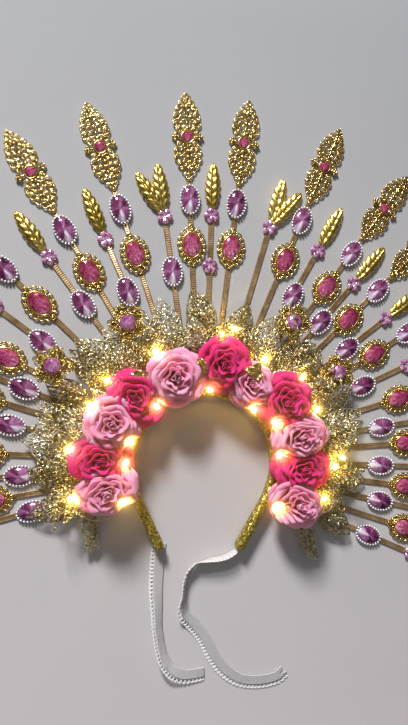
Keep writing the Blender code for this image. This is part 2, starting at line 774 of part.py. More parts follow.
# Route of the light string: angle in degrees, millimetres out from the arch and over the
# roses' seat, bulb or wire
light_route = [
    (-114, 10, 4, "bulb"), (-118, 19, 3.5, "wire"), (-118, 33, 4, "wire"), (-113, 45, 5.5, "wire"),
    (-104, 52, 6.5, "bulb"), (-97, 47, 5.5, "wire"), (-95, 35, 4, "wire"), (-95, 19, 3, "wire"),
    (-93, 9, 3, "wire"), (-88, 4, 2, "bulb"), (-80, 4, 3, "wire"), (-73, 3.5, 2, "bulb"),
    (-75, 14, 3, "wire"), (-77, 27, 4, "wire"), (-78, 41, 5.5, "wire"), (-83, 52, 6.5, "bulb"),
    (-77, 57, 7, "wire"), (-70, 52, 6, "wire"), (-63.5, 48.5, 6, "bulb"), (-57, 47, 6, "wire"),
    (-51, 49, 6, "bulb"), (-42, 44, 5, "wire"), (-38, 34, 4, "wire"), (-37.5, 19, 3, "wire"),
    (-41.5, 3.5, 2, "bulb"), (-35.5, 0.5, 3, "wire"), (-33, 11, 3, "wire"), (-33.5, 27, 3.5, "wire"),
    (-32, 37, 4.5, "wire"), (-26.5, 44.5, 6, "bulb"), (-18, 43, 5.5, "wire"), (-10.5, 34, 4, "wire"),
    (-9, 19, 3, "wire"), (-7, 8, 3, "wire"), (0, 2, 2, "bulb"), (9, 3, 3, "wire"),
    (14.5, 11, 3, "wire"), (15.5, 24, 3, "wire"), (15.5, 37, 4.5, "wire"), (11, 47, 5.5, "wire"),
    (3.5, 51, 6.5, "bulb"), (1, 57, 7, "wire"), (8.5, 58, 7, "bulb"), (17, 50, 6, "wire"),
    (26, 42, 5.5, "bulb"), (32, 38, 4.5, "wire"), (35, 29, 3.5, "wire"), (36.5, 15, 3, "wire"),
    (38.5, 0, 2, "bulb"), (47, 3, 3, "wire"), (55.5, 7.5, 3.5, "bulb"), (58, 18, 3, "wire"),
    (58.5, 31, 4, "wire"), (54, 46, 5.5, "wire"), (45, 52.5, 6.5, "bulb"), (46, 59, 7, "wire"),
    (54, 55.5, 6.5, "wire"), (61, 47, 6, "bulb"), (70, 47, 5.5, "wire"), (77, 39, 4.5, "wire"),
    (79, 27, 3.5, "wire"), (79.5, 13, 3, "wire"), (80, 2, 2, "bulb"), (88, 1.5, 3, "wire"),
    (94.5, 4.5, 3, "wire"), (98, 14, 3, "wire"), (98.5, 27, 4, "wire"), (97, 39, 5, "wire"),
    (94, 48, 6, "wire"), (88.5, 53, 6.5, "bulb"), (84.5, 59.5, 7, "bulb"), (90, 64, 7, "wire"),
    (97, 56, 6.5, "wire"), (103, 47, 6, "bulb"), (112, 46, 5.5, "wire"), (118.5, 38, 4.5, "wire"),
    (120, 25, 3.5, "wire"), (117, 8, 3.5, "bulb"),
]


def build_light_string():
    """A thin wire woven between the roses, swelling into a bulb at each light."""
    places = [
        polar(angle, arch_radius + reach * mm, rose_base_z + rise * mm)
        for angle, reach, rise, kind in light_route
    ]
    stops = []
    for i, place in enumerate(places):
        if light_route[i][3] == "wire":
            stops.append((place, 1.0))
            continue
        run = (places[min(i + 1, len(places) - 1)] - places[max(i - 1, 0)]).normalized()
        half = run * bulb_length / 2
        swell = bulb_radius / wire_radius
        stops += [
            (place - half, 1.0), (place - half / 2, swell),
            (place + half / 2, swell), (place + half, 1.0),
        ]
    path = bpy.data.curves.new("light_string", "CURVE")
    path.dimensions = "3D"
    path.bevel_depth = wire_radius
    path.bevel_resolution = 0
    path.use_fill_caps = True
    spline = path.splines.new("POLY")
    spline.points.add(len(stops) - 1)
    for point, (place, swell) in zip(spline.points, stops):
        point.co = (*place, 1.0)
        point.radius = swell
    string = curve_to_mesh(new_object("light_string_path", path, tools), "light_string", parts)
    string.data.materials.append(material("light_string", (1.0, 0.72, 0.3), 0.4))


# Middle lines of the ties on the surface: across and down from the leg's tip as shares of the
# drop, and the lean of the strip's width from flat in degrees
left_tie_route = [
    (-0.006, 0.038, 0), (-0.017, -0.079, 0), (-0.018, -0.204, 0), (-0.016, -0.329, 12),
    (-0.006, -0.462, 32), (0.006, -0.595, 42), (0.048, -0.779, 42), (0.119, -0.9, 30),
    (0.227, -0.962, 8), (0.39, -0.95, 0),
]
right_tie_route = [
    (-0.002, -0.005, 90), (-0.069, -0.05, 90), (-0.14, -0.07, 90), (-0.236, -0.085, 80),
    (-0.302, -0.11, 62), (-0.351, -0.17, 55), (-0.374, -0.245, 60), (-0.381, -0.337, 62),
    (-0.384, -0.437, 40), (-0.361, -0.504, 20), (-0.313, -0.558, 5), (-0.215, -0.67, 0),
    (-0.122, -0.829, 0), (-0.023, -0.945, 0), (0.098, -1.016, 0), (0.248, -1.033, 0),
    (0.381, -1.008, 0), (0.448, -0.95, 0),
]


def build_tie(name, side, route):
    """A flat elastic strip lofted along the surface, standing on its edge where it leans."""
    leg_tip = arch_point(side * (arch_half_angle + math.degrees(leg_length / arch_radius)), arch_radius)
    places = [leg_tip + Vector((x, y, 0)) * tie_drop for x, y, lean in route]
    rings = []
    for i, place in enumerate(places):
        run = (places[min(i + 1, len(places) - 1)] - places[max(i - 1, 0)]).normalized()
        flat_side = Vector((run.y, -run.x, 0))
        lean = math.radians(route[i][2])
        wide = flat_side * math.cos(lean) + Vector((0, 0, math.sin(lean)))
        thick = run.cross(wide).normalized() * tie_thick / 2
        wide *= tie_wide / 2
        lift = Vector((0, 0, abs(wide.z) + abs(thick.z)))
        middle = place + lift
        rings.append([
            middle - wide - thick, middle + wide - thick,
            middle + wide + thick, middle - wide + thick,
        ])
    bm = bmesh.new()
    loft(bm, rings)
    tie = finish(bm, name, parts)
    tie.data.materials.append(material(name, (0.8, 0.78, 0.76), 0.8))


def main():
    plate = finial_mesh()
    for number, row in enumerate(ray_table):
        build_ray(number, row, plate)
    build_band()
    for number, row in enumerate(rose_table):
        build_rose(number, row)
    for number, row in enumerate(foliage_table):
        build_foliage(number, row)
    for number, row in enumerate(brooch_table):
        build_brooch(number, row)
    build_light_string()
    build_tie("tie_left", -1.0, left_tie_route)
    build_tie("tie_right", 1.0, right_tie_route)


main()
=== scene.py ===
import bpy
import numpy as np
from numpy import cos, pi, sin
from mathutils import Matrix, Vector


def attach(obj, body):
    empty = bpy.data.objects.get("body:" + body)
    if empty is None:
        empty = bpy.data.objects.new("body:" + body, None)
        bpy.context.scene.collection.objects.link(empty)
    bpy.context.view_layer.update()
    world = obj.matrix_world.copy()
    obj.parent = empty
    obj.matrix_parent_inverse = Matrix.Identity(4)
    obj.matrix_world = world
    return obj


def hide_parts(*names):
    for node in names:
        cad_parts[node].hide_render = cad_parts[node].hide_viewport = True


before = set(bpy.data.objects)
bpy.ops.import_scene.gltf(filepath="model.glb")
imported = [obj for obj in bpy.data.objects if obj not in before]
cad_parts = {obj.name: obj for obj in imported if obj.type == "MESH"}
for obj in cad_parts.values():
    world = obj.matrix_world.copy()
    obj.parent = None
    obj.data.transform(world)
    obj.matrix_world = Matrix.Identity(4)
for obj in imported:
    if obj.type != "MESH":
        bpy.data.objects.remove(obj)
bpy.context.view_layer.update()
mm = 0.001
print("frame loaded:", len(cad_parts), "nodes")


# Shapes: points in millimetres, faces, a tint for each face and a fade for each point

def unit(v):
    return v / np.maximum(np.linalg.norm(v, axis=-1, keepdims=True), 1e-9)


def xyz(x, y, z):
    # points from three numbers or arrays, stretched to one size
    return np.stack(np.broadcast_arrays(x, y, z), -1).astype(float)


def fullTurn(steps):
    return np.arange(steps) * 2 * pi / steps


def shape(points, quads=(), tris=(), tint=0.5, fade=0.5):
    points = np.asarray(points, float).reshape(-1, 3)
    quads, tris = np.asarray(quads, int).reshape(-1, 4), np.asarray(tris, int).reshape(-1, 3)
    return {"points": points, "quads": quads, "tris": tris,
            "tint": tint + np.zeros(len(quads) + len(tris)), "fade": fade + np.zeros(len(points))}


def merged(shapes):
    # one shape from several, all quads first and then all triangles
    starts = np.cumsum([0] + [len(s["points"]) for s in shapes[:-1]])
    quads, tris = [np.concatenate([s[kind] + k for s, k in zip(shapes, starts)])
                   for kind in ("quads", "tris")]
    tint = ([s["tint"][:len(s["quads"])] for s in shapes]
            + [s["tint"][len(s["quads"]):] for s in shapes])
    points, fade = [np.concatenate([s[kind] for s in shapes]) for kind in ("points", "fade")]
    return shape(points, quads, tris, np.concatenate(tint), fade)


def copiesOf(base, turns, places, tints=None):
    # copy k is turns[k] applied to the base's points, plus places[k]
    places = np.asarray(places, float).reshape(-1, 3)
    count, cut = len(places), len(base["quads"])
    turns = np.broadcast_to(np.asarray(turns, float), (count, 3, 3))
    points = np.einsum("kij,pj->kpi", turns, base["points"]) + places[:, None, :]
    steps = (np.arange(count) * len(base["points"]))[:, None, None]
    tint = np.tile(base["tint"], (count, 1))
    if tints is not None:
        tint[:] = tints[:, None]
    tint = np.concatenate([tint[:, :cut].ravel(), tint[:, cut:].ravel()])
    return shape(points, base["quads"] + steps, base["tris"] + steps, tint,
                 np.tile(base["fade"], count))


def placed(base, turn=np.eye(3), place=(0, 0, 0)):
    return copiesOf(base, turn, [place])


def turnAboutZ(degrees):
    c, s = cos(np.radians(degrees)), sin(np.radians(degrees))
    return np.array([(c, -s, 0), (s, c, 0), (0, 0, 1)])


def turnsTo(forward, up):
    # matrices whose second column is forward and third is as near to up as it can be
    y = unit(np.asarray(forward, float))
    x = unit(np.cross(y, up))
    return np.stack([x, y, np.cross(x, y)], -1)


def gridFaces(rows, columns, wrapRows=False, wrapColumns=False):
    # quads between the neighbours of a grid of points
    i = np.arange(rows if wrapRows else rows - 1)[:, None]
    j = np.arange(columns if wrapColumns else columns - 1)[None, :]
    nextI, nextJ = (i + 1) % rows * columns, (j + 1) % columns
    i = i * columns
    return np.stack([i + j, nextI + j, nextI + nextJ, i + nextJ], -1).reshape(-1, 4)


def fan(pole, first, sides, backward=False):
    # triangles from a pole to the ring of points that begins at first
    j = np.arange(sides)
    k = (j + 1) % sides
    j, k = (k, j) if backward else (j, k)
    return np.stack([pole + 0 * j, first + j, first + k], -1).reshape(-1, 3)


def roundProfile(radius, sides, flat):
    turn = fullTurn(sides)
    return np.stack([radius * cos(turn), radius * flat * sin(turn)], -1)


def swept(paths, profile, sizes=1, up=(0, 0, 1), closed=False):
    # a profile (p, q) carried along each path: path + side * p + lift * q,
    # where side = tangent x up and lift = side x tangent
    paths, profile = np.asarray(paths, float), np.asarray(profile, float)
    paths = paths[None] if paths.ndim == 2 else paths
    count, steps = paths.shape[:2]
    ring = len(profile)
    ahead = np.roll(paths, -1, 1) - np.roll(paths, 1, 1) if closed else np.gradient(paths, axis=1)
    run = unit(ahead)
    side = unit(np.cross(run, up))
    lift = np.cross(side, run)
    sizes = np.broadcast_to(sizes, (count, steps))[..., None, None]
    spread = side[:, :, None] * profile[:, :1] + lift[:, :, None] * profile[:, 1:]
    points = (paths[:, :, None] + spread * sizes).reshape(-1, 3)
    begin = np.arange(count)[:, None] * steps * ring
    quads = gridFaces(steps, ring, closed, True) + begin[..., None]
    if closed:
        return shape(points, quads)
    pole = len(points) + 2 * np.arange(count)[:, None]
    last = begin + (steps - 1) * ring
    tris = np.concatenate([fan(pole, begin, ring), fan(pole + 1, last, ring, True)])
    return shape(np.concatenate([points, paths[:, [0, -1]].reshape(-1, 3)]), quads, tris)


def tube(paths, radius, sides, sizes=1, flat=1, **more):
    return swept(paths, roundProfile(radius, sides, flat), sizes, **more)


def rings(centres, radii, steps, wire, sides, flat=1):
    # closed wire rings that lie flat round each centre
    turn = fullTurn(steps)
    circle = xyz(cos(turn), sin(turn), 0) * np.reshape(radii, (-1, 1, 1))
    paths = np.asarray(centres, float)[:, None] + circle
    return tube(paths, wire, sides, flat=flat, closed=True)


def closedRings(loops, fade=0.5):
    # loops of points from the bottom up, with a point in the middle of the first and the last
    rows, sides = loops.shape[:2]
    tris = np.concatenate([fan(rows * sides, 0, sides, True),
                           fan(rows * sides + 1, (rows - 1) * sides, sides)])
    fade = np.broadcast_to(fade, (rows, sides))
    fade = np.concatenate([fade.ravel(), fade[[0, -1]].mean(1)])
    points = np.concatenate([loops.reshape(-1, 3), loops[[0, -1]].mean(1)])
    return shape(points, gridFaces(rows, sides, False, True)[:, ::-1], tris, fade=fade)


def turned(profile, sides, half=(1, 1), fade=0.5):
    # a profile of radii and heights turned about Z: (a r cos t, b r sin t, z), from the bottom up
    turn = fullTurn(sides)
    radii, heights = np.array(profile, float).T[..., None]
    loops = xyz(half[0] * radii * cos(turn), half[1] * radii * sin(turn), heights)
    return closedRings(loops, fade)


def shells(grids, thickness, tints=0.5, fade=0.5):
    # sheets given as grids of points, closed with the same grid moved in along its normals
    # and a strip round the border
    grids = np.asarray(grids, float)
    grids = grids[None] if grids.ndim == 3 else grids
    count, rows, columns = grids.shape[:3]
    size = rows * columns
    normal = unit(np.cross(np.gradient(grids, axis=1), np.gradient(grids, axis=2)))
    points = np.stack([grids, grids - normal * thickness], 1)
    i, j = np.arange(rows) * columns, np.arange(columns)
    edge = np.concatenate([j, i[1:] + columns - 1, size - 2 - j[:-1], i[-2:0:-1]])
    after = np.roll(edge, -1)
    strip = np.stack([edge, after, after + size, edge + size], -1)
    top = gridFaces(rows, columns)
    one = np.concatenate([top, top[:, ::-1] + size, strip])
    quads = one + (np.arange(count) * 2 * size)[:, None, None]
    tints = np.repeat(np.broadcast_to(tints, count), len(one))
    fade = np.broadcast_to(fade, (count, rows, columns))
    return shape(points, quads, tint=tints, fade=np.stack([fade, fade], 1).ravel())


def smoothLine(points, perSpan):
    # a Catmull-Rom line through the points, perSpan steps to each span
    points = np.asarray(points, float)
    first, last = 2 * points[:1] - points[1:2], 2 * points[-1:] - points[-2:-1]
    padded = np.concatenate([first, points, last])
    t = (np.arange(perSpan) / perSpan)[None, :, None]
    a, b, c, d = (padded[k:len(padded) - 3 + k][:, None] for k in range(4))
    line = 0.5 * (2 * b + (c - a) * t + (2 * a - 5 * b + 4 * c - d) * t**2
                  + (3 * b - a - 3 * c + d) * t**3)
    return np.concatenate([line.reshape(-1, points.shape[1]), points[-1:]])


def lengthAlong(line):
    return np.concatenate([[0], np.cumsum(np.linalg.norm(np.diff(line, axis=0), axis=1))])


def inScene(name, data):
    made = bpy.data.objects.new(name, data)
    bpy.context.scene.collection.objects.link(made)
    return made


def makePiece(name, parts, nodes):
    # parts are rows of shape, finish and smooth or flat; the piece stands for the named nodes
    shapes, finishOf, smooth = zip(*parts)
    whole = merged(shapes)
    finishes = list(dict.fromkeys(finishOf))
    counts = [len(s[kind]) for kind in ("quads", "tris") for s in shapes]
    quads, tris = whole["quads"], whole["tris"]
    mesh = bpy.data.meshes.new(name)
    mesh.vertices.add(len(whole["points"]))
    mesh.vertices.foreach_set("co", (whole["points"] * mm).astype(np.float32).ravel())
    corners = np.concatenate([quads.ravel(), tris.ravel()]).astype(np.int32)
    mesh.loops.add(len(corners))
    mesh.loops.foreach_set("vertex_index", corners)
    starts = np.concatenate([np.arange(len(quads)) * 4, len(quads) * 4 + np.arange(len(tris)) * 3])
    mesh.polygons.add(len(starts))
    mesh.polygons.foreach_set("loop_start", starts.astype(np.int32))
    index = np.repeat([finishes.index(finish) for finish in finishOf] * 2, counts)
    mesh.polygons.foreach_set("material_index", index.astype(np.int32))
    mesh.polygons.foreach_set("use_smooth", np.repeat(smooth * 2, counts).astype(bool))
    for finish in finishes:
        mesh.materials.append(finish)
    mesh.update(calc_edges=True)
    for layer, kind in (("tint", "FACE"), ("fade", "POINT")):
        attribute = mesh.attributes.new(layer, "FLOAT", kind)
        attribute.data.foreach_set("value", whole[layer].astype(np.float32))
    mesh.validate()
    piece = inScene(name, mesh)
    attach(piece, "root")
    if nodes:
        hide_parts(*nodes)
    return piece


# Finishes

def addNode(tree, kind, inputs, **settings):
    node = tree.nodes.new("ShaderNode" + kind)
    for key, value in settings.items():
        setattr(node, key, value)
    for key, value in inputs.items():
        if isinstance(value, bpy.types.NodeSocket):
            tree.links.new(value, node.inputs[key])
        else:
            node.inputs[key].default_value = value
    return node


def worked(tree, operation, *values):
    return addNode(tree, "Math", dict(enumerate(values)), operation=operation).outputs[0]


def placeOf(tree, kind="Object"):
    return addNode(tree, "TexCoord", {}).outputs[kind]


def attributeOf(tree, name):
    return addNode(tree, "Attribute", {}, attribute_name=name).outputs["Fac"]


def noiseOf(tree, scale, detail=2, **more):
    inputs = {"Vector": placeOf(tree), "Scale": scale, "Detail": detail, **more}
    return addNode(tree, "TexNoise", inputs).outputs["Fac"]


def newFinish(name, fixed):
    made = bpy.data.materials.new(name)
    made.use_nodes = True
    for key, value in fixed.items():
        made.node_tree.nodes["Principled BSDF"].inputs[key].default_value = value
    return made, made.node_tree


def paint(tree, factor, steps, socket="Base Color"):
    # the colour goes from step to step as the factor grows
    ramp = addNode(tree, "ValToRGB", {"Fac": factor})
    stops = ramp.color_ramp.elements
    while len(stops) < len(steps):
        stops.new(0.5)
    for stop, (position, colour) in zip(stops, steps):
        stop.position = position
        stop.color = (*colour, 1)
    tree.links.new(ramp.outputs["Color"], tree.nodes["Principled BSDF"].inputs[socket])


def emboss(tree, height, deepMm, strength):
    relief = addNode(tree, "Bump", {"Height": height, "Distance": deepMm * mm, "Strength": strength})
    tree.links.new(relief.outputs["Normal"], tree.nodes["Principled BSDF"].inputs["Normal"])


def stampedMetal(name, roughness, grain, dentMm, steps, metallic=1):
    # cloudy colour under fine dents
    made, tree = newFinish(name, {"Metallic": metallic, "Roughness": roughness})
    paint(tree, noiseOf(tree, grain, 4, Roughness=0.65), steps)
    emboss(tree, noiseOf(tree, grain * 6, 3), dentMm, 0.7)
    return made


def glitterCoat(name, grain, scatter, roughness, steps, metallic=0.9):
    # every grain of the glitter has its own colour and leans its own way
    made, tree = newFinish(name, {"Metallic": metallic, "Roughness": roughness})
    grains = addNode(tree, "TexVoronoi", {"Vector": placeOf(tree), "Scale": grain}).outputs["Color"]
    own = worked(tree, "SUBTRACT", attributeOf(tree, "tint"), 0.5)
    red = addNode(tree, "SeparateColor", {"Color": grains}).outputs["Red"]
    paint(tree, worked(tree, "MULTIPLY_ADD", own, 0.9, red), steps)
    normal = addNode(tree, "NewGeometry", {}).outputs["Normal"]
    facing = grains
    for operation, inputs in (("SUBTRACT", {1: (0.5, 0.5, 0.5)}), ("SCALE", {"Scale": scatter}),
                              ("ADD", {1: normal}), ("NORMALIZE", {})):
        leaned = addNode(tree, "VectorMath", {0: facing, **inputs}, operation=operation)
        facing = leaned.outputs["Vector"]
    tree.links.new(facing, tree.nodes["Principled BSDF"].inputs["Normal"])
    return made


def foiledStone(name, mottle, steps):
    # the colour follows the fade on the stone, which carries its painted highlights, broken by small
    # cracks and by each facet's tint, a painted reflection
    made, tree = newFinish(name, {
        "Metallic": 0.25, "Roughness": 0.12, "IOR": 1.55, "Coat Weight": 1,
        "Coat Roughness": 0.03, "Specular IOR Level": 0.7,
    })
    cracks = addNode(tree, "TexVoronoi", {"Vector": placeOf(tree), "Scale": 420})
    shade = addNode(tree, "SeparateColor", {"Color": cracks.outputs["Color"]}).outputs["Green"]
    broken = worked(tree, "MULTIPLY_ADD", worked(tree, "SUBTRACT", shade, 0.5), mottle,
                    attributeOf(tree, "fade"))
    facet = worked(tree, "SUBTRACT", attributeOf(tree, "tint"), 0.5)
    paint(tree, worked(tree, "MULTIPLY_ADD", facet, 0.85, broken), steps)
    return made


def petalCloth(name, *shadedToPale):
    # the colour is deepest at a petal's base, painted shade down in the rose, and pale along its
    # rim, with a cloud of uneven dye over a fine weave
    made, tree = newFinish(name, {
        "Roughness": 0.8, "Sheen Weight": 0.03, "Sheen Roughness": 0.4, "Subsurface Weight": 0.4,
        "Subsurface Scale": 0.006, "Subsurface Radius": (1, 0.35, 0.3), "Specular IOR Level": 0.1,
    })
    cloud = worked(tree, "SUBTRACT", noiseOf(tree, 90, 3), 0.5)
    dyeAndShade = worked(tree, "MULTIPLY_ADD", cloud, 0.5, attributeOf(tree, "fade"))
    paint(tree, dyeAndShade, list(zip((0, 0.55, 1), shadedToPale)))
    folds = noiseOf(tree, 160, Distortion=1.5)
    emboss(tree, worked(tree, "MULTIPLY_ADD", folds, 4, noiseOf(tree, 1800)), 0.25, 0.6)
    return made


filigreeGold = stampedMetal("filigree gold", 0.2, 260, 0.12, [
    (0.3, (0.42, 0.23, 0.04)), (0.5, (0.87, 0.59, 0.17)), (0.7, (1, 0.84, 0.44))])
leafGold = stampedMetal("leaf gold", 0.28, 180, 0.2, [
    (0.3, (0.42, 0.25, 0.03)), (0.52, (0.88, 0.61, 0.13)), (0.72, (1, 0.82, 0.34))])
strapGold = stampedMetal("ribbed strap", 0.32, 70, 0.1, [
    (0.3, (0.23, 0.125, 0.05)), (0.55, (0.42, 0.28, 0.14)), (0.75, (0.57, 0.41, 0.23))], 0.55)
beadSilver = stampedMetal("bead silver", 0.2, 300, 0.05, [
    (0.3, (0.76, 0.7, 0.78)), (0.7, (1, 0.97, 1))], 0.4)
lilacStone = foiledStone("lilac stone", 0.12, [
    (0, (0.04, 0.003, 0.025)), (0.25, (0.23, 0.035, 0.13)), (0.48, (0.42, 0.16, 0.36)),
    (0.72, (0.7, 0.5, 0.74)), (1, (1, 0.95, 1))])
pinkStone = foiledStone("rose pink stone", 0.03, [
    (0, (0.08, 0, 0.012)), (0.4, (0.34, 0.025, 0.1)), (0.7, (0.62, 0.13, 0.28)),
    (1, (1, 0.75, 0.85))])
crystalPink = foiledStone("flower crystal", 0.1, [
    (0, (0.18, 0.02, 0.1)), (0.4, (0.4, 0.11, 0.29)), (0.75, (0.66, 0.38, 0.58)),
    (1, (1, 0.88, 0.96))])
glitterGold = glitterCoat("foliage glitter", 700, 1.2, 0.2, [
    (0, (0.24, 0.18, 0.06)), (0.4, (0.56, 0.46, 0.21)), (0.8, (0.86, 0.76, 0.46)),
    (1, (1, 0.97, 0.85))], 0.7)
glitterBronze = glitterCoat("brooch glitter", 650, 1, 0.26, [
    (0, (0.22, 0.13, 0.03)), (0.5, (0.58, 0.4, 0.1)), (1, (0.95, 0.78, 0.32))])
glitterBand = glitterCoat("headband glitter", 900, 0.9, 0.4, [
    (0, (0.1, 0.065, 0.004)), (0.5, (0.36, 0.27, 0.03)), (0.85, (0.62, 0.5, 0.09)),
    (1, (0.95, 0.85, 0.35))], 0.7)
# the first colour of each is the painted shade at the petals' bases
petalLight = petalCloth("light petals", (0.62, 0.02, 0.14), (0.86, 0.17, 0.36), (0.92, 0.36, 0.53))
petalHot = petalCloth("hot petals", (0.2, 0, 0.02), (0.58, 0.006, 0.11), (0.78, 0.025, 0.19))
print("finishes made")


# Light string: where the bulbs sit, used by the petals and by the string itself

arch = {"radius": 65.2, "half": 117.5, "leg": 51}


def polar(angle, radius, height=0):
    # clockwise from +Y round the arch's centre: (r sin a, r cos a - R, z)
    turn = np.radians(angle)
    return xyz(radius * sin(turn), radius * cos(turn) - arch["radius"], height)


lights = {
    "wire": 0.35, "bulb": 1.9, "bulbHalf": 2.6, "seat": 14,
    "warm": (1, 0.7, 0.12), "glow": 26, "watts": 0.0085, "lampSize": 0.002, "lampLift": 0.0045,
    # angle in degrees, millimetres out from the arch and over the roses' seat, and 1 for a bulb
    "route": [
        (-114, 10, 4, 1), (-118, 19, 3.5, 0), (-118, 33, 4, 0), (-113, 45, 5.5, 0),
        (-104, 52, 6.5, 1), (-97, 47, 5.5, 0), (-95, 35, 4, 0), (-95, 19, 3, 0),
        (-93, 9, 3, 0), (-88, 4, 2, 1), (-80, 4, 3, 0), (-73, 3.5, 2, 1),
        (-75, 14, 3, 0), (-77, 27, 4, 0), (-78, 41, 5.5, 0), (-83, 52, 6.5, 1),
        (-77, 57, 7, 0), (-70, 52, 6, 0), (-63.5, 48.5, 6, 1), (-57, 47, 6, 0),
        (-51, 49, 6, 1), (-42, 44, 5, 0), (-38, 34, 4, 0), (-37.5, 19, 3, 0),
        (-41.5, 3.5, 2, 1), (-35.5, 0.5, 3, 0), (-33, 11, 3, 0), (-33.5, 27, 3.5, 0),
        (-32, 37, 4.5, 0), (-26.5, 44.5, 6, 1), (-18, 43, 5.5, 0), (-10.5, 34, 4, 0),
        (-9, 19, 3, 0), (-7, 8, 3, 0), (0, 2, 2, 1), (9, 3, 3, 0),
        (14.5, 11, 3, 0), (15.5, 24, 3, 0), (15.5, 37, 4.5, 0), (11, 47, 5.5, 0),
        (3.5, 51, 6.5, 1), (1, 57, 7, 0), (8.5, 58, 7, 1), (17, 50, 6, 0),
        (26, 42, 5.5, 1), (32, 38, 4.5, 0), (35, 29, 3.5, 0), (36.5, 15, 3, 0),
        (38.5, 0, 2, 1), (47, 3, 3, 0), (55.5, 7.5, 3.5, 1), (58, 18, 3, 0),
        (58.5, 31, 4, 0), (54, 46, 5.5, 0), (45, 52.5, 6.5, 1), (46, 59, 7, 0),
        (54, 55.5, 6.5, 0), (61, 47, 6, 1), (70, 47, 5.5, 0), (77, 39, 4.5, 0),
        (79, 27, 3.5, 0), (79.5, 13, 3, 0), (80, 2, 2, 1), (88, 1.5, 3, 0),
        (94.5, 4.5, 3, 0), (98, 14, 3, 0), (98.5, 27, 4, 0), (97, 39, 5, 0),
        (94, 48, 6, 0), (88.5, 53, 6.5, 1), (84.5, 59.5, 7, 1), (90, 64, 7, 0),
        (97, 56, 6.5, 0), (103, 47, 6, 1), (112, 46, 5.5, 0), (118.5, 38, 4.5, 0),
        (120, 25, 3.5, 0), (117, 8, 3.5, 1),
    ],
}
angles, outward, lift, lit = np.array(lights["route"], float).T
stringPoints = polar(angles, arch["radius"] + outward, lights["seat"] + lift)
isBulb = np.flatnonzero(lit)
bulbPlaces = stringPoints[isBulb]


# Stones, frames, leaves and finials for the straps

# the glint range gives each facet of a cut stone a painted reflection
facets = {"share": (1, 0.88, 0.62, 0.34), "rise": (0, 0.55, 0.88, 1), "glint": (0.3, 0.78)}


def cutStone(half, base, high, sides, seed):
    # rings (c a cos t, c b sin t, h), each turned half a step on the last, joined by flat triangles
    share, rise = (np.array(facets[key])[:, None] for key in ("share", "rise"))
    rows = len(share)
    turn = (np.arange(sides) + 0.5 * np.arange(rows)[:, None]) * 2 * pi / sides
    loops = xyz(half[0] * share * cos(turn), half[1] * share * sin(turn), base + high * rise)
    j = np.arange(sides)
    k = (j + 1) % sides
    faces = []
    for a in range(0, (rows - 1) * sides, sides):
        b = a + sides
        faces += [np.stack([a + j, a + k, b + j], -1), np.stack([a + k, b + k, b + j], -1)]
    faces += [fan(rows * sides + 1, (rows - 1) * sides, sides), fan(rows * sides, 0, sides, True)]
    faces = np.concatenate(faces)
    points = np.concatenate([loops.reshape(-1, 3), [(0, 0, base), (0, 0, base + high * 1.02)]])
    # painted highlight: the fade grows toward the -Y end, and each facet gets a random painted glint
    low = np.clip(-points[:, 1] / half[1], -1, 1)
    glint = np.random.default_rng(seed).uniform(*facets["glint"], len(faces))
    return shape(points, tris=faces, tint=glint, fade=0.42 + 0.22 * low)


def domedStone(half, base, high, sides):
    # half an ellipsoid; a painted highlight streak runs down its long axis and widens at the inner
    # end; the inner half is painted lighter and the outer half darker
    level = np.radians([0, 14, 30, 46, 62, 78])[:, None]
    turn = fullTurn(sides)
    x, y = cos(level) * cos(turn), cos(level) * sin(turn)
    inner, outer = np.clip(-y, 0, 1), np.clip(y, 0, 1)
    # painted highlight: the streak and the lighter inner half go into the stone's colour
    paintedStreak = np.exp(-(x / (0.1 + 0.12 * inner))**2) * (0.3 + 0.6 * np.clip(0.3 - y * 1.6, -0.4, 1))
    paintedSideShading = 0.2 * inner + 0.08 * cos(6 * turn) - 0.1 * outer
    loops = xyz(half[0] * x, half[1] * y, base + high * sin(level))
    stone = closedRings(loops, np.clip(0.24 + paintedStreak + paintedSideShading, 0, 1))
    # painted reflections: the facet sectors take lighter and darker tints in turn
    paintedFacetGlints = np.repeat([0.4, 0.62, 0.36, 0.58, 0.42, 0.7, 0.38, 0.66], sides // 8)
    stone["tint"][:5 * sides] = np.tile(paintedFacetGlints, 5)
    return stone


beadBall = turned([(0.42, -0.8), (0.88, -0.35), (0.98, 0.25), (0.7, 0.75), (0.3, 0.97)], 7)
grainBall = turned([(0.7, -0.6), (1, 0.2), (0.6, 0.85)], 6)


def beadRow(places, radius):
    return copiesOf(grainBall if radius < 1 else beadBall, np.eye(3) * radius, places)


def ellipsePlaces(half, count, height, start=0):
    # evenly spaced along the ellipse: the arc length is added up and cut into equal runs
    turn = np.linspace(0, 2 * pi, 721)
    travelled = lengthAlong(np.stack([half[0] * cos(turn), half[1] * sin(turn)], -1))
    at = np.interp((np.arange(count) + start) / count * travelled[-1], travelled, turn)
    return xyz(half[0] * cos(at), half[1] * sin(at), height)


strap = {"wide": 4.8, "thick": 1.4, "tooth": 1.9, "groove": 0.3, "rail": 1, "bevel": 0.3}
top = strap["thick"]
lilac = {"half": (9.8, 14), "rim": 2.3, "high": 3.3, "beads": 24, "beadRadius": 1.18}


def lilacOrnament():
    half = np.array(lilac["half"])
    stone = domedStone(half - lilac["rim"], top + 0.6, lilac["high"], 40)
    # the cup under the beads takes the stone's darkest colour: painted shade in the gaps between the
    # beads
    cup = turned([(0.96, top - 0.5), (1, top + 0.2), (0.97, top + 0.5)], 30, half - 1.2, 0)
    beads = beadRow(ellipsePlaces(half - 1.3, lilac["beads"], top + 1), lilac["beadRadius"])
    return [(stone, lilacStone, True), (cup, lilacStone, True), (beads, beadSilver, True)]


gold = {
    "half": (13, 18.5), "bezel": (8, 11.4), "bezelWire": 0.9, "rope": 38, "ropeRadius": 0.62,
    "loops": 15, "loopRadius": 2.45, "loopWire": 0.78, "crest": 2.1, "grain": 0.8,
}


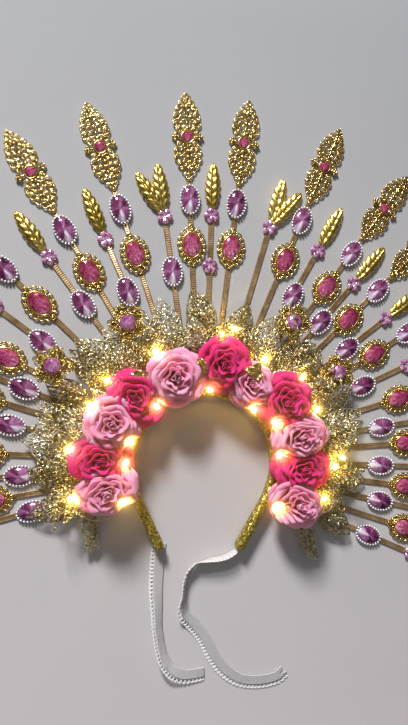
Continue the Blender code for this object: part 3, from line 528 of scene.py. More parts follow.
def goldOrnament():
    wide, long = gold["half"]
    bezel, loops, grain = np.array(gold["bezel"]), gold["loops"], gold["grain"]
    stone = cutStone(bezel - 0.3, top + 1.2, 2.9, 14, 3)
    turn = fullTurn(40)
    rim = xyz(bezel[0] * cos(turn), bezel[1] * sin(turn), top + 1.5)
    crests = np.array([(0, long - 2.2, top + 0.8), (0, 2.2 - long, top + 0.8)])
    tips = np.array([(0, long - 0.6, top + 0.8), (0, 0.6 - long, top + 0.8)])
    gilt = merged([
        tube(rim, gold["bezelWire"], 7, closed=True),
        beadRow(ellipsePlaces(bezel + 1.2, gold["rope"], top + 0.9), gold["ropeRadius"]),
        turned([(1, top - 0.5), (1, top + 0.3), (0.97, top + 0.5)], 40, bezel + (1.6, 2)),
        rings(ellipsePlaces(bezel + (2.3, 2.6), loops, top + 0.5, 0.5), gold["loopRadius"], 12,
              gold["loopWire"], 5),
        beadRow(ellipsePlaces((wide - 1.2, bezel[1] + 4.2), loops, top + 0.5), grain),
        beadRow(ellipsePlaces(bezel + (1.9, 2.2), loops, top + 0.9), grain),
        rings(crests, gold["crest"], 12, 0.6, 5),
        beadRow(np.concatenate([tips, crests + (0, 0, 0.3)]), grain),
    ])
    return [(stone, pinkStone, False), (gilt, filigreeGold, True)]


flower = {
    "radius": 7.2, "lobes": 5, "inner": 0.74,
    # radius as a share and height in millimetres, from the edge in
    "rows": [(0.98, 0), (1, 0.9), (0.88, 1.7), (0.66, 2.3), (0.46, 2), (0.26, 1.5), (0.1, 1.3)],
}


def flowerCrystal():
    # the edge's radius is r (0.74 + 0.26 |cos 2.5 t|^0.6); each lobe is ridged, dished in the middle
    share, height = np.array(flower["rows"]).T[..., None]
    turn = fullTurn(40)
    lobe = np.abs(cos(flower["lobes"] / 2 * turn))
    radius = flower["radius"] * share * (flower["inner"] + (1 - flower["inner"]) * lobe**0.6)
    loops = xyz(radius * sin(turn), radius * cos(turn), top + height * (0.6 + 0.4 * lobe))
    # painted highlights: lighter along each lobe's ridge and in the middle
    fade = 0.3 + 0.35 * lobe**2 * share + 0.4 * (share < 0.3)
    crystal = closedRings(loops[:, ::-1], fade[:, ::-1])
    # each facet gets a random painted reflection
    crystal["tint"] = np.random.default_rng(5).uniform(0.1, 0.95, len(crystal["tint"]))
    return [(crystal, crystalPink, False)]


leaf = {
    "long": 41, "half": 7.2, "thick": 0.5, "arched": 1.7, "fold": 1.1,
    "veins": 6, "slant": 0.9, "puff": 1.15, "notch": 0.22,
}


def goldLeaf():
    # half width sin(pi v^0.88)^0.55 cut into lobes; height = arch across + a puff between the veins
    # - a groove down the middle
    v, u = np.linspace(0, 1, 43)[:, None], np.linspace(-1, 1, 17)
    aside, bow = np.abs(u), sin(pi * v)
    slant = leaf["veins"] * v - leaf["slant"] * aside
    lobes = 1 - leaf["notch"] * aside**3 * np.abs(cos(pi * slant))**4
    wide = leaf["half"] * (0.1 + 0.9 * sin(pi * v**0.88)**0.55) * lobes
    puff = leaf["puff"] * np.abs(sin(pi * slant))**0.6 * (1 - aside**4) * bow**0.5
    z = (top + 0.9 + leaf["arched"] * (1 - u**2) * bow**0.6 + puff
         - leaf["fold"] * np.exp(-(u / 0.13)**2))
    blade = shells(xyz(u * wide, leaf["long"] * v, z)[:, ::-1], leaf["thick"])
    middle = smoothLine([(0, -1, top + 0.6), (0, 12, top + 1.7), (0, 30, top + 1.9)], 4)
    stalk = tube(middle, 0.5, 6, np.linspace(1.3, 0.5, 9))
    return [(merged([blade, stalk]), leafGold, True)]


finial = {
    "wire": 0.6, "stone": 5, "curled": 2.4, "turns": 1.25, "bead": 1.55,
    # across, along and radius of the scrolls on one side; the first 12 are the outline
    "scrolls": [
        (2.4, 34.6, 1.7), (4.6, 29.4, 2.6), (7.2, 24.2, 2.9), (9, 18.4, 3), (9.3, 12, 3.1),
        (7.2, 6.6, 2.6), (7.2, -6.6, 2.6), (9.3, -12.2, 3.1), (9.2, -18.6, 3), (6.8, -24.4, 2.8),
        (4, -29.4, 2.3), (2, -33.6, 1.6), (3.2, 22.4, 2), (4.4, 17, 2.2), (4.2, 11.8, 2.1),
        (3, 8, 1.7), (2, 28.4, 1.4), (3, -8.2, 1.8), (4.3, -12.6, 2.1), (4.5, -17.6, 2.2),
        (2.8, -22.4, 1.9), (1.8, -26.6, 1.5),
    ],
    # along, half width and half length of the bosses down the middle
    "bosses": [
        (30.8, 1, 1.6), (26.4, 1.4, 2.2), (17.6, 1.3, 2.4), (12, 1.2, 1.8), (8, 1.6, 1.6),
        (-8, 1.5, 1.7), (-12.6, 1.3, 2), (-17.6, 1.2, 2), (-22.6, 1.2, 2), (-28, 1.4, 2.4),
        (-33.5, 1.6, 2.6), (-37.5, 1.5, 1.8),
    ],
}


def finialOrnament():
    # each scroll is a ring; a big one holds a curl of radius r (0.86 - 0.62 s), turned 1.25 times
    scrolls = np.array(finial["scrolls"])
    count = len(scrolls)
    scrolls = np.concatenate([scrolls, scrolls * (-1, 1, 1)])
    level, wire = top + 0.35, finial["wire"]
    middles = xyz(scrolls[:, 0], scrolls[:, 1], level)
    big = scrolls[:, 2] > finial["curled"]
    s = np.linspace(0, 1, 11)
    turn = np.sign(scrolls[big, :1]) * (1.2 + 2 * pi * finial["turns"] * s)
    radius = scrolls[big, 2:] * (0.86 - 0.62 * s)
    curls = middles[big][:, None] + xyz(radius * sin(turn), radius * cos(turn), 0.3)
    along, wide, long = np.array(finial["bosses"]).T
    knobs = xyz(wide * 1.35, long, 1.2)[:, None] * np.eye(3)
    flowers = [(side * (10.6 + x), y, level + z) for side in (-1, 1) for x, y, z in
               ((-2.6, 0, 0), (2.4, 0, 0.1), (0.4, 2.3, 0), (0.4, -2.3, 0), (0, 0, 0.5))]
    links = [[(side * x, 0, level) for x in (4.5, 7, 9.6)] for side in (-1, 1)]
    joints = np.concatenate([middles[:12], middles[count:count + 12]]) + (0, -2.7, 0)
    gilt = merged([
        rings(middles, scrolls[:, 2], 12, wire, 5),
        tube(curls, wire * 0.8, 4),
        tube(smoothLine([(0, y, level) for y in (-39, -8, 8, 38)], 3), 0.75, 6),
        rings([(0, 36.6, level)], 2, 12, wire, 5),
        copiesOf(beadBall, knobs, xyz(0, along, level + 0.1)),
        beadRow(flowers, finial["bead"]),
        tube(links, 0.9, 6),
        beadRow(joints, 0.7),
        rings([(0, 0, level + 0.4)], finial["stone"] + 0.4, 24, 0.85, 6),
        beadRow([(0, 39, level)], 0.8),
    ])
    stone = cutStone((finial["stone"], finial["stone"]), level, 2.7, 10, 8)
    return [(gilt, filigreeGold, True), (stone, pinkStone, False)]


# Straps with their ornaments

rays = {
    # angle between neighbours' inner ends, and how far a strap starts inside the arch
    "leftPitch": 6.6, "rightPitch": 6.25, "middle": 16, "tuck": 3.2, "headingReach": 134.8,
    # where the ornaments sit, out from the arch
    "longGold": 130.8, "longLilac": 171.3, "longFinial": 226.8, "shortLilac": 106.8,
    "shortFlower": 155.8, "shortLeaf": 181.8, "lowFlower": 110.8, "slide": 20, "splay": 27,
    # heading in degrees, and how far the ornaments are slid outward as a share;
    # short and long straps take turns
    "table": [
        (-106.5, -1), (-101, -0.7), (-95, -0.7), (-88.5, -0.5), (-80, -0.1), (-74.5, 0),
        (-69, -0.15), (-63.5, -0.15), (-55, 0.2), (-48, 0.2), (-39.5, 0.2), (-33.5, 0.05),
        (-26.5, -0.25), (-21, 0), (-12, 0.1), (-6, 0), (-1, 0.1), (4.5, 0), (13, 0.1),
        (19.5, 0.2), (26, 0.1), (33, 0.15), (38, -0.1), (43.5, -0.25), (50, 0), (56, -0.2),
        (63, -0.2), (70.5, 0.1), (77.5, 0.15), (83, 0.15), (89.5, 0), (95, 0.2), (100.5, 0.2),
        (106, 0.6), (111.5, 0.15),
    ],
    # short straps, by number, that carry something else
    "special": {15: "leaf left", 17: "low flower", 19: "leaf right"},
}


def toothedStrap(length):
    # a flat section with a smooth rail at each side; between them the height steps tooth by tooth
    rows = 2 * int(length / strap["tooth"]) + 1
    half, high, bevel = strap["wide"] / 2, strap["thick"], strap["bevel"]
    x = np.array([half, half, half - bevel, half - 0.8, half - strap["rail"]])
    z = np.array([0.02, high - bevel, high, high, 0])
    x, z = np.concatenate([x, -x[::-1]]), np.concatenate([z, z[::-1]])
    level = np.tile(z, (rows, 1))
    level[:, 4:6] = np.where(np.arange(rows) % 2, high, high - strap["groove"])[:, None]
    points = xyz(x, np.linspace(0, length, rows)[:, None], level).reshape(-1, 3)
    size = len(points)
    return shape(np.concatenate([points, [(0, 0, high / 2), (0, length, high / 2)]]),
                 gridFaces(rows, 10, False, True),
                 np.concatenate([fan(size, 0, 10), fan(size + 1, size - 10, 10, True)]))


def moved(parts, turn, place):
    return [(placed(part, turn, place), finish, smooth) for part, finish, smooth in parts]


ornaments = {"lilac": lilacOrnament(), "gold": goldOrnament(), "flower": flowerCrystal(),
             "leaf": goldLeaf(), "finial": finialOrnament()}


def glued(kind, along, degrees=0, aside=0, lift=0):
    return moved(ornaments[kind], turnAboutZ(degrees), (aside, along, lift))


for number, (heading, shift) in enumerate(rays["table"]):
    pitch = rays["leftPitch"] if number < rays["middle"] else rays["rightPitch"]
    innerAngle = rays["table"][rays["middle"]][0] + (number - rays["middle"]) * pitch
    inner = polar(innerAngle, arch["radius"] - rays["tuck"])
    run = unit(polar(heading, arch["radius"] + rays["headingReach"]) - inner)
    slid = rays["tuck"] + shift * rays["slide"]
    if number % 2:
        strapEnd = rays["longFinial"] + slid
        parts = (glued("gold", rays["longGold"] + slid) + glued("lilac", rays["longLilac"] + slid)
                 + glued("finial", strapEnd))
    else:
        strapEnd = rays["shortLeaf"] + slid
        start = strapEnd - leaf["long"] / 2
        special = rays["special"].get(number + 1, "")
        parts = glued("leaf", start)
        if special == "low flower":
            parts += glued("flower", rays["lowFlower"] + slid, 11)
        elif special != "leaf right":
            parts += glued("lilac", rays["shortLilac"] + slid)
        if "leaf" in special:
            side = 1 if special == "leaf left" else -1
            parts += glued("leaf", start - 2.2, side * rays["splay"], -0.9 * side, 0.4)
        parts += glued("flower", rays["shortFlower"] + slid, 20 * (number % 3))
    parts.append((toothedStrap(strapEnd), strapGold, False))
    parts = moved(parts, turnsTo(run, (0, 0, 1)), inner)
    shade = np.random.default_rng(300 + number)
    for part, finish, _ in parts:
        if finish in (lilacStone, pinkStone):
            part["fade"] += shade.uniform(-0.07, 0.1)
    name = f"strap_ray_{number + 1:02d}"
    makePiece("jewelled_" + name, parts, [name])
print("straps made")


# Headband

band = {
    "wide": 9, "high": 12, "level": 7.7, "steps": 200, "sides": 22, "taper": 4.5,
    "power": 0.75,  # under 1 squares the section a little
}


def archLine(angle, radius):
    # an arc with a straight leg at each end: past the arc's half angle the line goes on along
    # its tangent
    side = np.sign(angle)
    turn = np.minimum(np.abs(angle), arch["half"])
    step = np.radians(np.maximum(0, np.abs(angle) - arch["half"])) * arch["radius"]
    heading = np.radians(turn)
    leg = xyz(side * cos(heading) * step, -sin(heading) * step, 0)
    return polar(side * turn, radius) + leg


bandEnd = arch["half"] + np.degrees(arch["leg"] / arch["radius"])
t = np.linspace(-1, 1, band["steps"])
line = archLine(t * bandEnd, arch["radius"]) + (0, 0, band["level"])
turn = fullTurn(band["sides"])
section = np.stack([band[size] / 2 * np.sign(wave) * np.abs(wave)**band["power"]
                    for size, wave in (("wide", cos(turn)), ("high", sin(turn)))], -1)
fromTip = (1 - np.abs(t)) * bandEnd * np.radians(1) * arch["radius"]
plump = np.sqrt(np.clip(1 - np.clip(1 - fromTip / band["taper"], 0, 0.96)**2, 0, 1))
wrapped = swept(line, section, plump * (1 + 0.015 * sin(t * 190)))
makePiece("glitter_headband", [(wrapped, glitterBand, True)], ["headband"])
print("headband made")


# Roses

roses = {
    "half": 20, "reach": 25, "seat": 14, "high": 28, "layerHigh": (1.1, 1, 0.92),
    "thick": 0.28, "dent": 7.5, "dentFloor": 1.5,
    # ring of petals: count, rim radius, rim height, roll of the rim, half width in turns,
    # base radius, ruffle
    "rings": [
        (2, 0.16, 0.96, 0.04, 0.3, 0.04, 0.05), (3, 0.31, 1, 0.09, 0.25, 0.06, 0.07),
        (3, 0.49, 0.97, 0.12, 0.25, 0.08, 0.07), (4, 0.68, 0.91, 0.16, 0.2, 0.1, 0.055),
        (4, 0.88, 0.75, 0.19, 0.2, 0.13, 0.045), (5, 1, 0.47, 0.13, 0.17, 0.16, 0.035),
    ],
    # angle, reach of the middle from the arch and half sizes round and out as shares, layer,
    # 1 for hot pink
    "table": [
        (-103, 0.83, 0.9, 1.2, 0, 0), (-86.5, 0.99, 0.95, 1.25, 2, 1),
        (-66.5, 0.99, 1.05, 1.1, 0, 0), (-48, 0.87, 1.05, 1.2, 2, 1),
        (-22.5, 0.75, 1.2, 1.1, 0, 0), (5.5, 1.03, 1.05, 1.15, 1, 1),
        (24.5, 0.67, 1, 0.95, 2, 0), (47.5, 0.99, 1.1, 1.15, 1, 1),
        (69, 0.83, 0.9, 1.2, 0, 0), (88.5, 0.79, 0.95, 1.2, 2, 1), (109, 0.79, 0.95, 1.1, 0, 0),
    ],
    # leaves on some roses: middle in millimetres, heading, length and half width
    "trims": {
        4: [((-60.5, 12.6, 31.5), 80, 17, 4.2)], 5: [((-11, 23, 34.5), 30, 15, 4.2)],
        7: [((32, 20.5, 36.5), 70, 13, 4), ((37, 17.5, 35.5), -20, 12, 3.6),
            ((35.5, 24, 35), 130, 11, 3.6)],
    },
}


def rosePetals(rng):
    # a petal at share v from base to rim and u across: angle = a + w u, radius grows as v^0.62
    # with a bulge, height as v with its corners lowered by |u|^2.2, and the rim rolls outward
    grids, tints = [], []
    v, u = np.linspace(0, 1, 12)[:, None], np.linspace(-1, 1, 15)
    opened = 0.45 + 0.55 * sin(pi / 2 * np.clip(v * 1.25, 0, 1))
    curl = np.clip((v - 0.74) / 0.26, 0, 1)**2
    spin = rng.uniform(0, 2 * pi)
    for count, rim, high, roll, wide, base, ruffle in roses["rings"]:
        spin += rng.uniform(0.5, 0.9)
        for k in range(count):
            middle = spin + 2 * pi * (k + rng.uniform(-0.12, 0.12)) / count
            fall = v * (1 - rng.uniform(0.16, 0.3) * np.abs(u)**2.2)
            size = rng.uniform(0.93, 1.07)
            angle = middle + 2 * pi * wide * u * opened * rng.uniform(0.92, 1.1)
            radius = base + (rim * size - base) * fall**0.62 + 0.1 * rim * sin(pi * v)
            wave = sin(rng.uniform(1.8, 3.2) * pi * u + rng.uniform(0, 6.3)) * v**2
            pinch = np.exp(-((u - rng.uniform(-0.3, 0.3)) / 0.16)**2) * v**4
            radius = (radius + roll * curl + 0.05 * u * rim + ruffle * wave
                      + 0.05 * pinch * rng.uniform(-1, 1))
            height = (0.08 + (high * rng.uniform(0.96, 1.03) - 0.08) * fall - roll * 0.75 * curl
                      + 0.4 * ruffle * wave - 0.04 * u - 0.08 * pinch * rng.random())
            grids.append(xyz(radius * cos(angle), radius * sin(angle), height))
            tints.append(rng.random())
    # the heart: a strip rolled up on itself, radius growing with the turn
    s = np.linspace(0, 1, 15)
    angle = spin + 2 * pi * 1.7 * s
    radius = 0.025 + 0.11 * s + 0.03 * v
    height = 0.3 + (0.66 + 0.05 * sin(angle * 1.5)) * v
    grids.append(xyz(radius * cos(angle), radius * sin(angle), height))
    return np.array(grids), np.array(tints + [0.5]), v


def dentedByBulbs(points):
    # a petal over a bulb is pressed down round it: z falls toward the bulb's seat as exp(-(d / r)^4)
    for bulb in bulbPlaces:
        away = np.linalg.norm(points[..., :2] - bulb[:2], axis=-1)
        over = np.clip(points[..., 2] - (bulb[2] - roses["dentFloor"]), 0, None)
        points[..., 2] -= over * np.exp(-(away / roses["dent"])**4)
    return points


def glitterLeafOn(place, heading, long, half):
    # a small folded leaf of glitter cloth
    v, u = np.linspace(0, 1, 9)[:, None], np.linspace(-1, 1, 7)
    wide = half * sin(pi * (0.06 + 0.9 * v))**0.8
    z = 1 + 1.6 * np.abs(u) * sin(pi * v) - 2.5 * (v - 0.5)**2
    blade = shells(xyz(u * wide, long * (v - 0.5), z)[:, ::-1], 0.5)
    return placed(blade, turnAboutZ(heading), place)


for number, (angle, reach, roundHalf, outHalf, layer, hot) in enumerate(roses["table"]):
    grids, tints, v = rosePetals(np.random.default_rng(40 + number))
    a = np.radians(angle)
    roundWay, outWay = np.array([(cos(a), -sin(a), 0), (sin(a), cos(a), 0)])
    points = (polar(angle, arch["radius"] + reach * roses["reach"])
              + grids[..., :1] * roundHalf * roses["half"] * roundWay
              + grids[..., 1:2] * outHalf * roses["half"] * outWay)
    high = roses["high"] * roses["layerHigh"][layer]
    points[..., 2] = roses["seat"] + grids[..., 2] * high
    points = dentedByBulbs(points)
    own = (tints[:, None, None] - 0.5) * 0.3
    # painted shade: the fade is lowest at each petal's base, deep in the rose; own gives each petal
    # a random tone
    fade = np.clip(0.34 + 0.6 * v + 0 * points[..., 0] + own, 0, 1)
    petals = shells(points[:, :, ::-1], roses["thick"], tints, fade[:, :, ::-1])
    parts = [(petals, petalHot if hot else petalLight, True)]
    for trim in roses["trims"].get(number + 1, []):
        parts.append((glitterLeafOn(*trim), glitterBronze, True))
    name = f"rose_{number + 1:02d}"
    makePiece("cloth_" + name, parts, [name])
print("roses made")


# Foliage

foliage = {
    "inner": 73.3, "outer": 88, "low": 1.7, "high": 13.7, "table": 0.8,
    # first and last angle of each run in degrees, and how far the ears' runs are kept clear
    "runs": [(-114, -78), (-78, -41), (-41, -4), (-4, 34), (34, 76), (76, 118)], "clear": (6, 8),
    # kind, how many, then ranges of radius, level, lean and size, then spread and roll in degrees
    "sprigs": [
        ("leaf", 4, (107, 115), (5, 8), (-2, 3), (1.25, 1.45), 32, 8),
        ("toothed", 8, (86, 104), (9, 13), (2, 10), (0.95, 1.2), 35, 18),
        ("leaf", 6, (88, 102), (14, 17), (4, 14), (0.85, 1.05), 45, 25),
        ("needles", 3, (86, 104), (5, 12), (0, 12), (1, 1.4), 22, 45),
        ("buds", 3, (90, 122), (8, 16), (0, 18), (1, 1.5), 22, 45),
    ],
    # points of each ear's middle line in millimetres
    "ears": [
        [(-82, -100, 9), (-93, -106, 9), (-95, -113, 9), (-95, -122, 9), (-94, -130, 8)],
        [(78, -108, 9), (92, -117, 9), (95, -124, 9), (99, -132, 9), (103, -140, 8)],
    ],
}


def laceLeaf(rim, teeth):
    # a pointed leaf of open work: rim, middle rib, rings, and slanting veins that end in teeth;
    # half width = 8.5 sin(pi s^0.85)^0.9, height = 3 sin(pi s) less 0.02 of the width squared
    long, half, bow = 32, 8.5, 3
    s = np.linspace(0, 1, 11)

    def edge(at, k):
        x = k * half * sin(pi * at**0.85)**0.9
        return xyz(x, long * at, bow * sin(pi * at) - 0.02 * x**2)

    at = np.linspace(0.08, 0.84, 9)
    start = xyz(0, long * at, bow * sin(pi * at))
    veins = []
    for k in (-1, 1):
        end = edge(np.clip(at + 0.16, 0, 1), k)
        bent = (start + end) / 2 + (0, -0.8, 0.3)
        veins.append(np.stack([start, bent, end + (k * teeth, 1.2 * teeth, -0.2)], 1))
    holes = [(k * x, y, bow * sin(pi * y / long)) for k in (-1, 1) for x, y in
             ((2.6, 8.5), (3, 13.5), (5.4, 11.5), (2.8, 18.5), (5.6, 17), (2.3, 23.5))]
    return merged([
        tube(xyz(0, long * s, bow * sin(pi * s)), 0.9, 4, np.linspace(1.2, 0.4, 11), 0.5),
        tube([edge(s, -1), edge(s, 1)], rim, 4, np.linspace(1.1, 0.4, 11), 0.4),
        tube(np.concatenate(veins), 0.6, 4, flat=0.4),
        rings(holes, 1.7, 7, 0.45, 4, 0.6),
    ])


def needleSprig(rng):
    # a bowed stem with two rows of needles that lean forward
    pairs = 17
    s = np.linspace(0, 1, 8)
    stem = xyz(2 * s**2, 30 * s, 3.5 * sin(pi * s * 0.8))
    at = np.repeat(np.linspace(0.12, 0.97, pairs), 2)
    root = np.stack([np.interp(at, s, line) for line in stem.T], -1)
    lean = np.radians(rng.uniform(28, 55, len(at)))
    side = np.tile([-1, 1], pairs)
    length = 9.5 * (1 - 0.55 * at) * rng.uniform(0.8, 1.15, len(at))
    way = xyz(side * sin(lean), cos(lean), rng.uniform(-0.35, 0.5, len(at)))
    paths = root[:, None] + way[:, None] * (length[:, None] * np.array([0, 0.55, 1]))[..., None]
    return merged([tube(stem, 0.6, 4, np.linspace(1.2, 0.5, 8)),
                   tube(paths, 0.62, 3, [0.6, 1, 0.25])])


def budTwig(rng):
    # a forked twig that ends in small round buds
    count = 13
    s = np.linspace(0, 1, 5)
    stem = xyz(0, 22 * s, 4 * s**1.5)
    at = np.linspace(0.2, 1, count)
    root = np.stack([np.interp(at, s, line) for line in stem.T], -1)
    side = np.where(np.arange(count) % 2, 1, -1)
    end = root + np.stack([side * rng.uniform(2.5, 6.5, count), rng.uniform(2, 6, count),
                           rng.uniform(-1, 4, count)], -1)
    forks = tube(np.stack([root, (root + end) / 2 + (0, 0.6, 0), end], 1), 0.35, 3)
    ball = turned([(0.6, -0.7), (1, 0), (0.6, 0.7)], 5)
    sizes = rng.uniform(1, 1.7, count)
    buds = copiesOf(ball, np.eye(3) * sizes[:, None, None], end)
    return merged([tube(stem, 0.5, 4), forks, buds])


def scatteredSprigs(base, rng, count, run, radius, level, lean, scale, spread, roll):
    # roots round the backing at random angles, each pointing outward, tipped up and rolled
    angle = np.linspace(run[0] + 1.5, run[1] - 1.5, count) + rng.uniform(-2, 2, count)
    root = polar(angle, rng.uniform(*radius, count), rng.uniform(*level, count))
    heading = np.radians(angle + rng.uniform(-spread, spread, count))
    tip = np.radians(rng.uniform(*lean, count))
    forward = xyz(sin(heading) * cos(tip), cos(heading) * cos(tip), sin(tip))
    rolled = np.radians(rng.uniform(-roll, roll, count))[:, None]
    flatSide = xyz(cos(heading), -sin(heading), 0)
    up = np.cross(flatSide, forward) * cos(rolled) + flatSide * sin(rolled)
    turns = turnsTo(forward, up) * rng.uniform(*scale, count)[:, None, None]
    return copiesOf(base, turns, root, rng.random(count))


def earSprigs(base, rng, route):
    # short leaves along the ear's middle line, each leaning on the next
    line = smoothLine(route, 3)
    run = unit(np.gradient(line, axis=0))[:-1]
    count = len(run)
    side = np.cross(run, (0, 0, 1))
    forward = unit(run + side * rng.uniform(-0.45, 0.45, (count, 1)))
    up = (0, 0, 1) + side * rng.uniform(-0.6, 0.6, (count, 1))
    places = line[:-1] + side * rng.uniform(-2, 2, (count, 1))
    # the ears' tints are kept in the upper range: painted light on leaves that lie in the roses'
    # shade
    return copiesOf(base, turnsTo(forward, up) * 0.5, places, 0.6 + 0.4 * rng.random(count))


def foliageBacking(run):
    # a low wall with bevelled top, swept along the run
    middle = (foliage["inner"] + foliage["outer"]) / 2
    deep = (foliage["outer"] - foliage["inner"]) / 2
    tall = (foliage["high"] - foliage["low"]) / 2
    section = [(deep, -tall), (deep, tall - 0.9), (deep - 1, tall), (-deep, tall), (-deep, -tall)]
    line = polar(np.linspace(run[0] + 0.1, run[1] - 0.1, 40), middle, foliage["low"] + tall)
    return swept(line[::-1], np.array(section)[::-1] * (-1, 1))


plainLeaf, toothedLeaf = laceLeaf(0.9, 0.3), laceLeaf(0.75, 1.3)
sprigKinds = {"leaf": lambda rng: plainLeaf, "toothed": lambda rng: toothedLeaf,
              "needles": needleSprig, "buds": budTwig}
for number, (first, last) in enumerate(foliage["runs"]):
    rng = np.random.default_rng(90 + number)
    ear = {0: 0, len(foliage["runs"]) - 1: 1}.get(number)
    ends = (first + (foliage["clear"][0] if ear == 0 else 0),
            last - (foliage["clear"][1] if ear == 1 else 0))
    sprigs = [foliageBacking((first, last))]
    for kind, count, *ranges in foliage["sprigs"]:
        sprigs.append(scatteredSprigs(sprigKinds[kind](rng), rng, count, ends, *ranges))
    if ear is not None:
        for kind in ("leaf", "needles"):
            sprigs.append(earSprigs(sprigKinds[kind](rng), rng, foliage["ears"][ear]))
    sprigs = merged(sprigs)
    # what hangs under the table's level is pressed flat
    level, least = sprigs["points"][:, 2], foliage["table"]
    sprigs["points"][:, 2] = np.where(level < least, least + 0.1 * (level - least), level)
    name = f"foliage_{number + 1}"
    makePiece("glitter_" + name, [(sprigs, glitterGold, True)], [name])
print("foliage made")


# Brooches

brooches = {
    "radius": 17, "level": 21.4, "stone": 7.2, "petals": 5, "wire": 0.6, "knob": 0.8,
    "outer": 88, "reach": 62,
    # one petal's rings: distance out, degrees off its middle line, radius and height
    "rings": [(8.6, -15, 2.1, 1.3), (8.6, 15, 2.1, 1.3), (11.2, 0, 2.4, 1.8), (12, -22, 2.1, 1.4),
              (12, 22, 2.1, 1.4), (15, -11, 1.7, 1), (15, 11, 1.7, 1), (14.4, 0, 1.4, 1.6)],
    # angle, reach as a share
    "table": [(-58.5, 1.1), (-31.5, 0.87), (28.5, 0.98), (52.5, 0.92)],
}


def broochParts():
    # petal k: rings fanned round its middle line, the outer ones smaller, over a thin lobed plate
    petals, stone = brooches["petals"], brooches["stone"]
    out, off, radii, z = np.tile(brooches["rings"], (petals, 1)).T
    a = np.radians(360 / petals * np.repeat(np.arange(petals), len(out) // petals) + off)
    places = xyz(out * sin(a), out * cos(a), z)
    turn = fullTurn(60)
    edge = brooches["radius"] * (0.5 + 0.36 * np.abs(cos(petals / 2 * turn))**0.6)
    share, height = np.array([(0.97, 0), (1, 0.4), (0.95, 0.8)]).T[..., None]
    plate = xyz(edge * share * sin(turn), edge * share * cos(turn), height)
    lace = merged([
        rings(places, radii, 10, brooches["wire"], 5),
        beadRow(places + (0, 0, 0.3), brooches["knob"]),
        closedRings(plate[:, ::-1]),
        beadRow(ellipsePlaces((stone + 0.9,) * 2, 26, 2.3), 0.9),
        turned([(0.9, 0.5), (1, 1.6), (1, 2.6)], 24, (stone + 0.3,) * 2),
    ])
    return [(lace, glitterBronze, True),
            (cutStone((stone,) * 2, 2.2, 4, 14, 21), crystalPink, False)]


for number, (angle, reach) in enumerate(brooches["table"]):
    place = polar(angle, brooches["outer"] + reach * brooches["reach"], brooches["level"])
    parts = moved(broochParts(), turnAboutZ(-angle), place)
    makePiece(f"lace_brooch_{number + 1}", parts, [f"brooch_{number + 1}"])
print("brooches made")


# Fairy lights: the wire, the bulbs and a small warm lamp at each

wireMetal = stampedMetal("light wire", 0.3, 300, 0.05, [
    (0.3, (0.55, 0.42, 0.25)), (0.7, (0.85, 0.7, 0.5))])
bulbGlass, tree = newFinish("lit bulb", {
    "Roughness": 0.2, "Emission Strength": lights["glow"], "Base Color": (1, 0.8, 0.5, 1)})
paint(tree, noiseOf(tree, 400), [(0.35, (1, 0.62, 0.07)), (0.65, (1, 0.78, 0.2))],
      "Emission Color")

wire = tube(smoothLine(stringPoints, 6), lights["wire"], 6)
before, after = np.maximum(isBulb - 1, 0), np.minimum(isBulb + 1, len(stringPoints) - 1)
ahead = unit(stringPoints[after] - stringPoints[before])
bulb = turned([(0.25, -1), (0.75, -0.75), (1, -0.3), (1, 0.3), (0.7, 0.75), (0.25, 1)], 10)
bulb["points"] *= (lights["bulb"], lights["bulb"], lights["bulbHalf"])
bulbs = copiesOf(bulb, turnsTo(np.cross(ahead, (0, 0, 1)), ahead), bulbPlaces)
makePiece("fairy_lights", [(wire, wireMetal, True), (bulbs, bulbGlass, True)], ["light_string"])
for number, place in enumerate(bulbPlaces):
    lamp = bpy.data.lights.new(f"bulb_lamp_{number + 1}", "POINT")
    lamp.energy, lamp.color = lights["watts"], lights["warm"]
    lamp.shadow_soft_size = lights["lampSize"]
    inScene(lamp.name, lamp).location = Vector(place * mm) + Vector((0, 0, lights["lampLift"]))
print("light string made")


# Elastic ties

ties = {
    "wide": 12, "thick": 0.7, "drop": 120, "woven": (-0.97, 0.45), "step": 1.1, "frayed": 9,
    # the lace edging: first row, how far out, radius and corners of its loops
    "thread": 0.42, "loops": [(2, 0.7, 1.75, 11), (3, 0.95, 0.8, 7)],
    # across and down from the leg's tip as shares of the drop, and the strip's lean in degrees
    "left": [
        (-0.006, 0.038, 0), (-0.017, -0.079, 0), (-0.018, -0.204, 0), (-0.016, -0.329, 12),
        (-0.006, -0.462, 32), (0.006, -0.595, 42), (0.048, -0.779, 42), (0.119, -0.9, 30),
        (0.227, -0.962, 8), (0.39, -0.95, 0),
    ],
    "right": [
        (-0.002, -0.005, 90), (-0.069, -0.05, 90), (-0.14, -0.07, 90), (-0.236, -0.085, 80),
        (-0.302, -0.11, 62), (-0.351, -0.17, 55), (-0.374, -0.245, 60), (-0.381, -0.337, 62),
        (-0.384, -0.437, 40), (-0.361, -0.504, 20), (-0.313, -0.558, 5), (-0.215, -0.67, 0),
        (-0.122, -0.829, 0), (-0.023, -0.945, 0), (0.098, -1.016, 0), (0.248, -1.033, 0),
        (0.381, -1.008, 0), (0.448, -0.95, 0),
    ],
}

# woven ribs along the strip and crossing threads, read from its own UV map in millimetres
laceElastic, tree = newFinish("lace elastic", {
    "Roughness": 0.85, "Sheen Weight": 0.3, "Sheen Roughness": 0.5, "Specular IOR Level": 0.2})
where = placeOf(tree, "UV")
ribs = addNode(tree, "TexWave", {"Vector": where, "Scale": 0.9, "Distortion": 0.6, "Detail": 2})
cross = addNode(tree, "TexWave", {"Vector": where, "Scale": 1.3, "Distortion": 0.8},
                bands_direction="Y")
both = worked(tree, "MULTIPLY", ribs.outputs["Fac"], cross.outputs["Fac"])
# the colour follows the same ribs as the relief, darker in the hollows: painted shade between the
# threads
paint(tree, both, [
    (0, (0.66, 0.63, 0.63)), (0.5, (0.86, 0.84, 0.84)), (1, (0.95, 0.94, 0.94))])
emboss(tree, both, 0.4, 0.8)

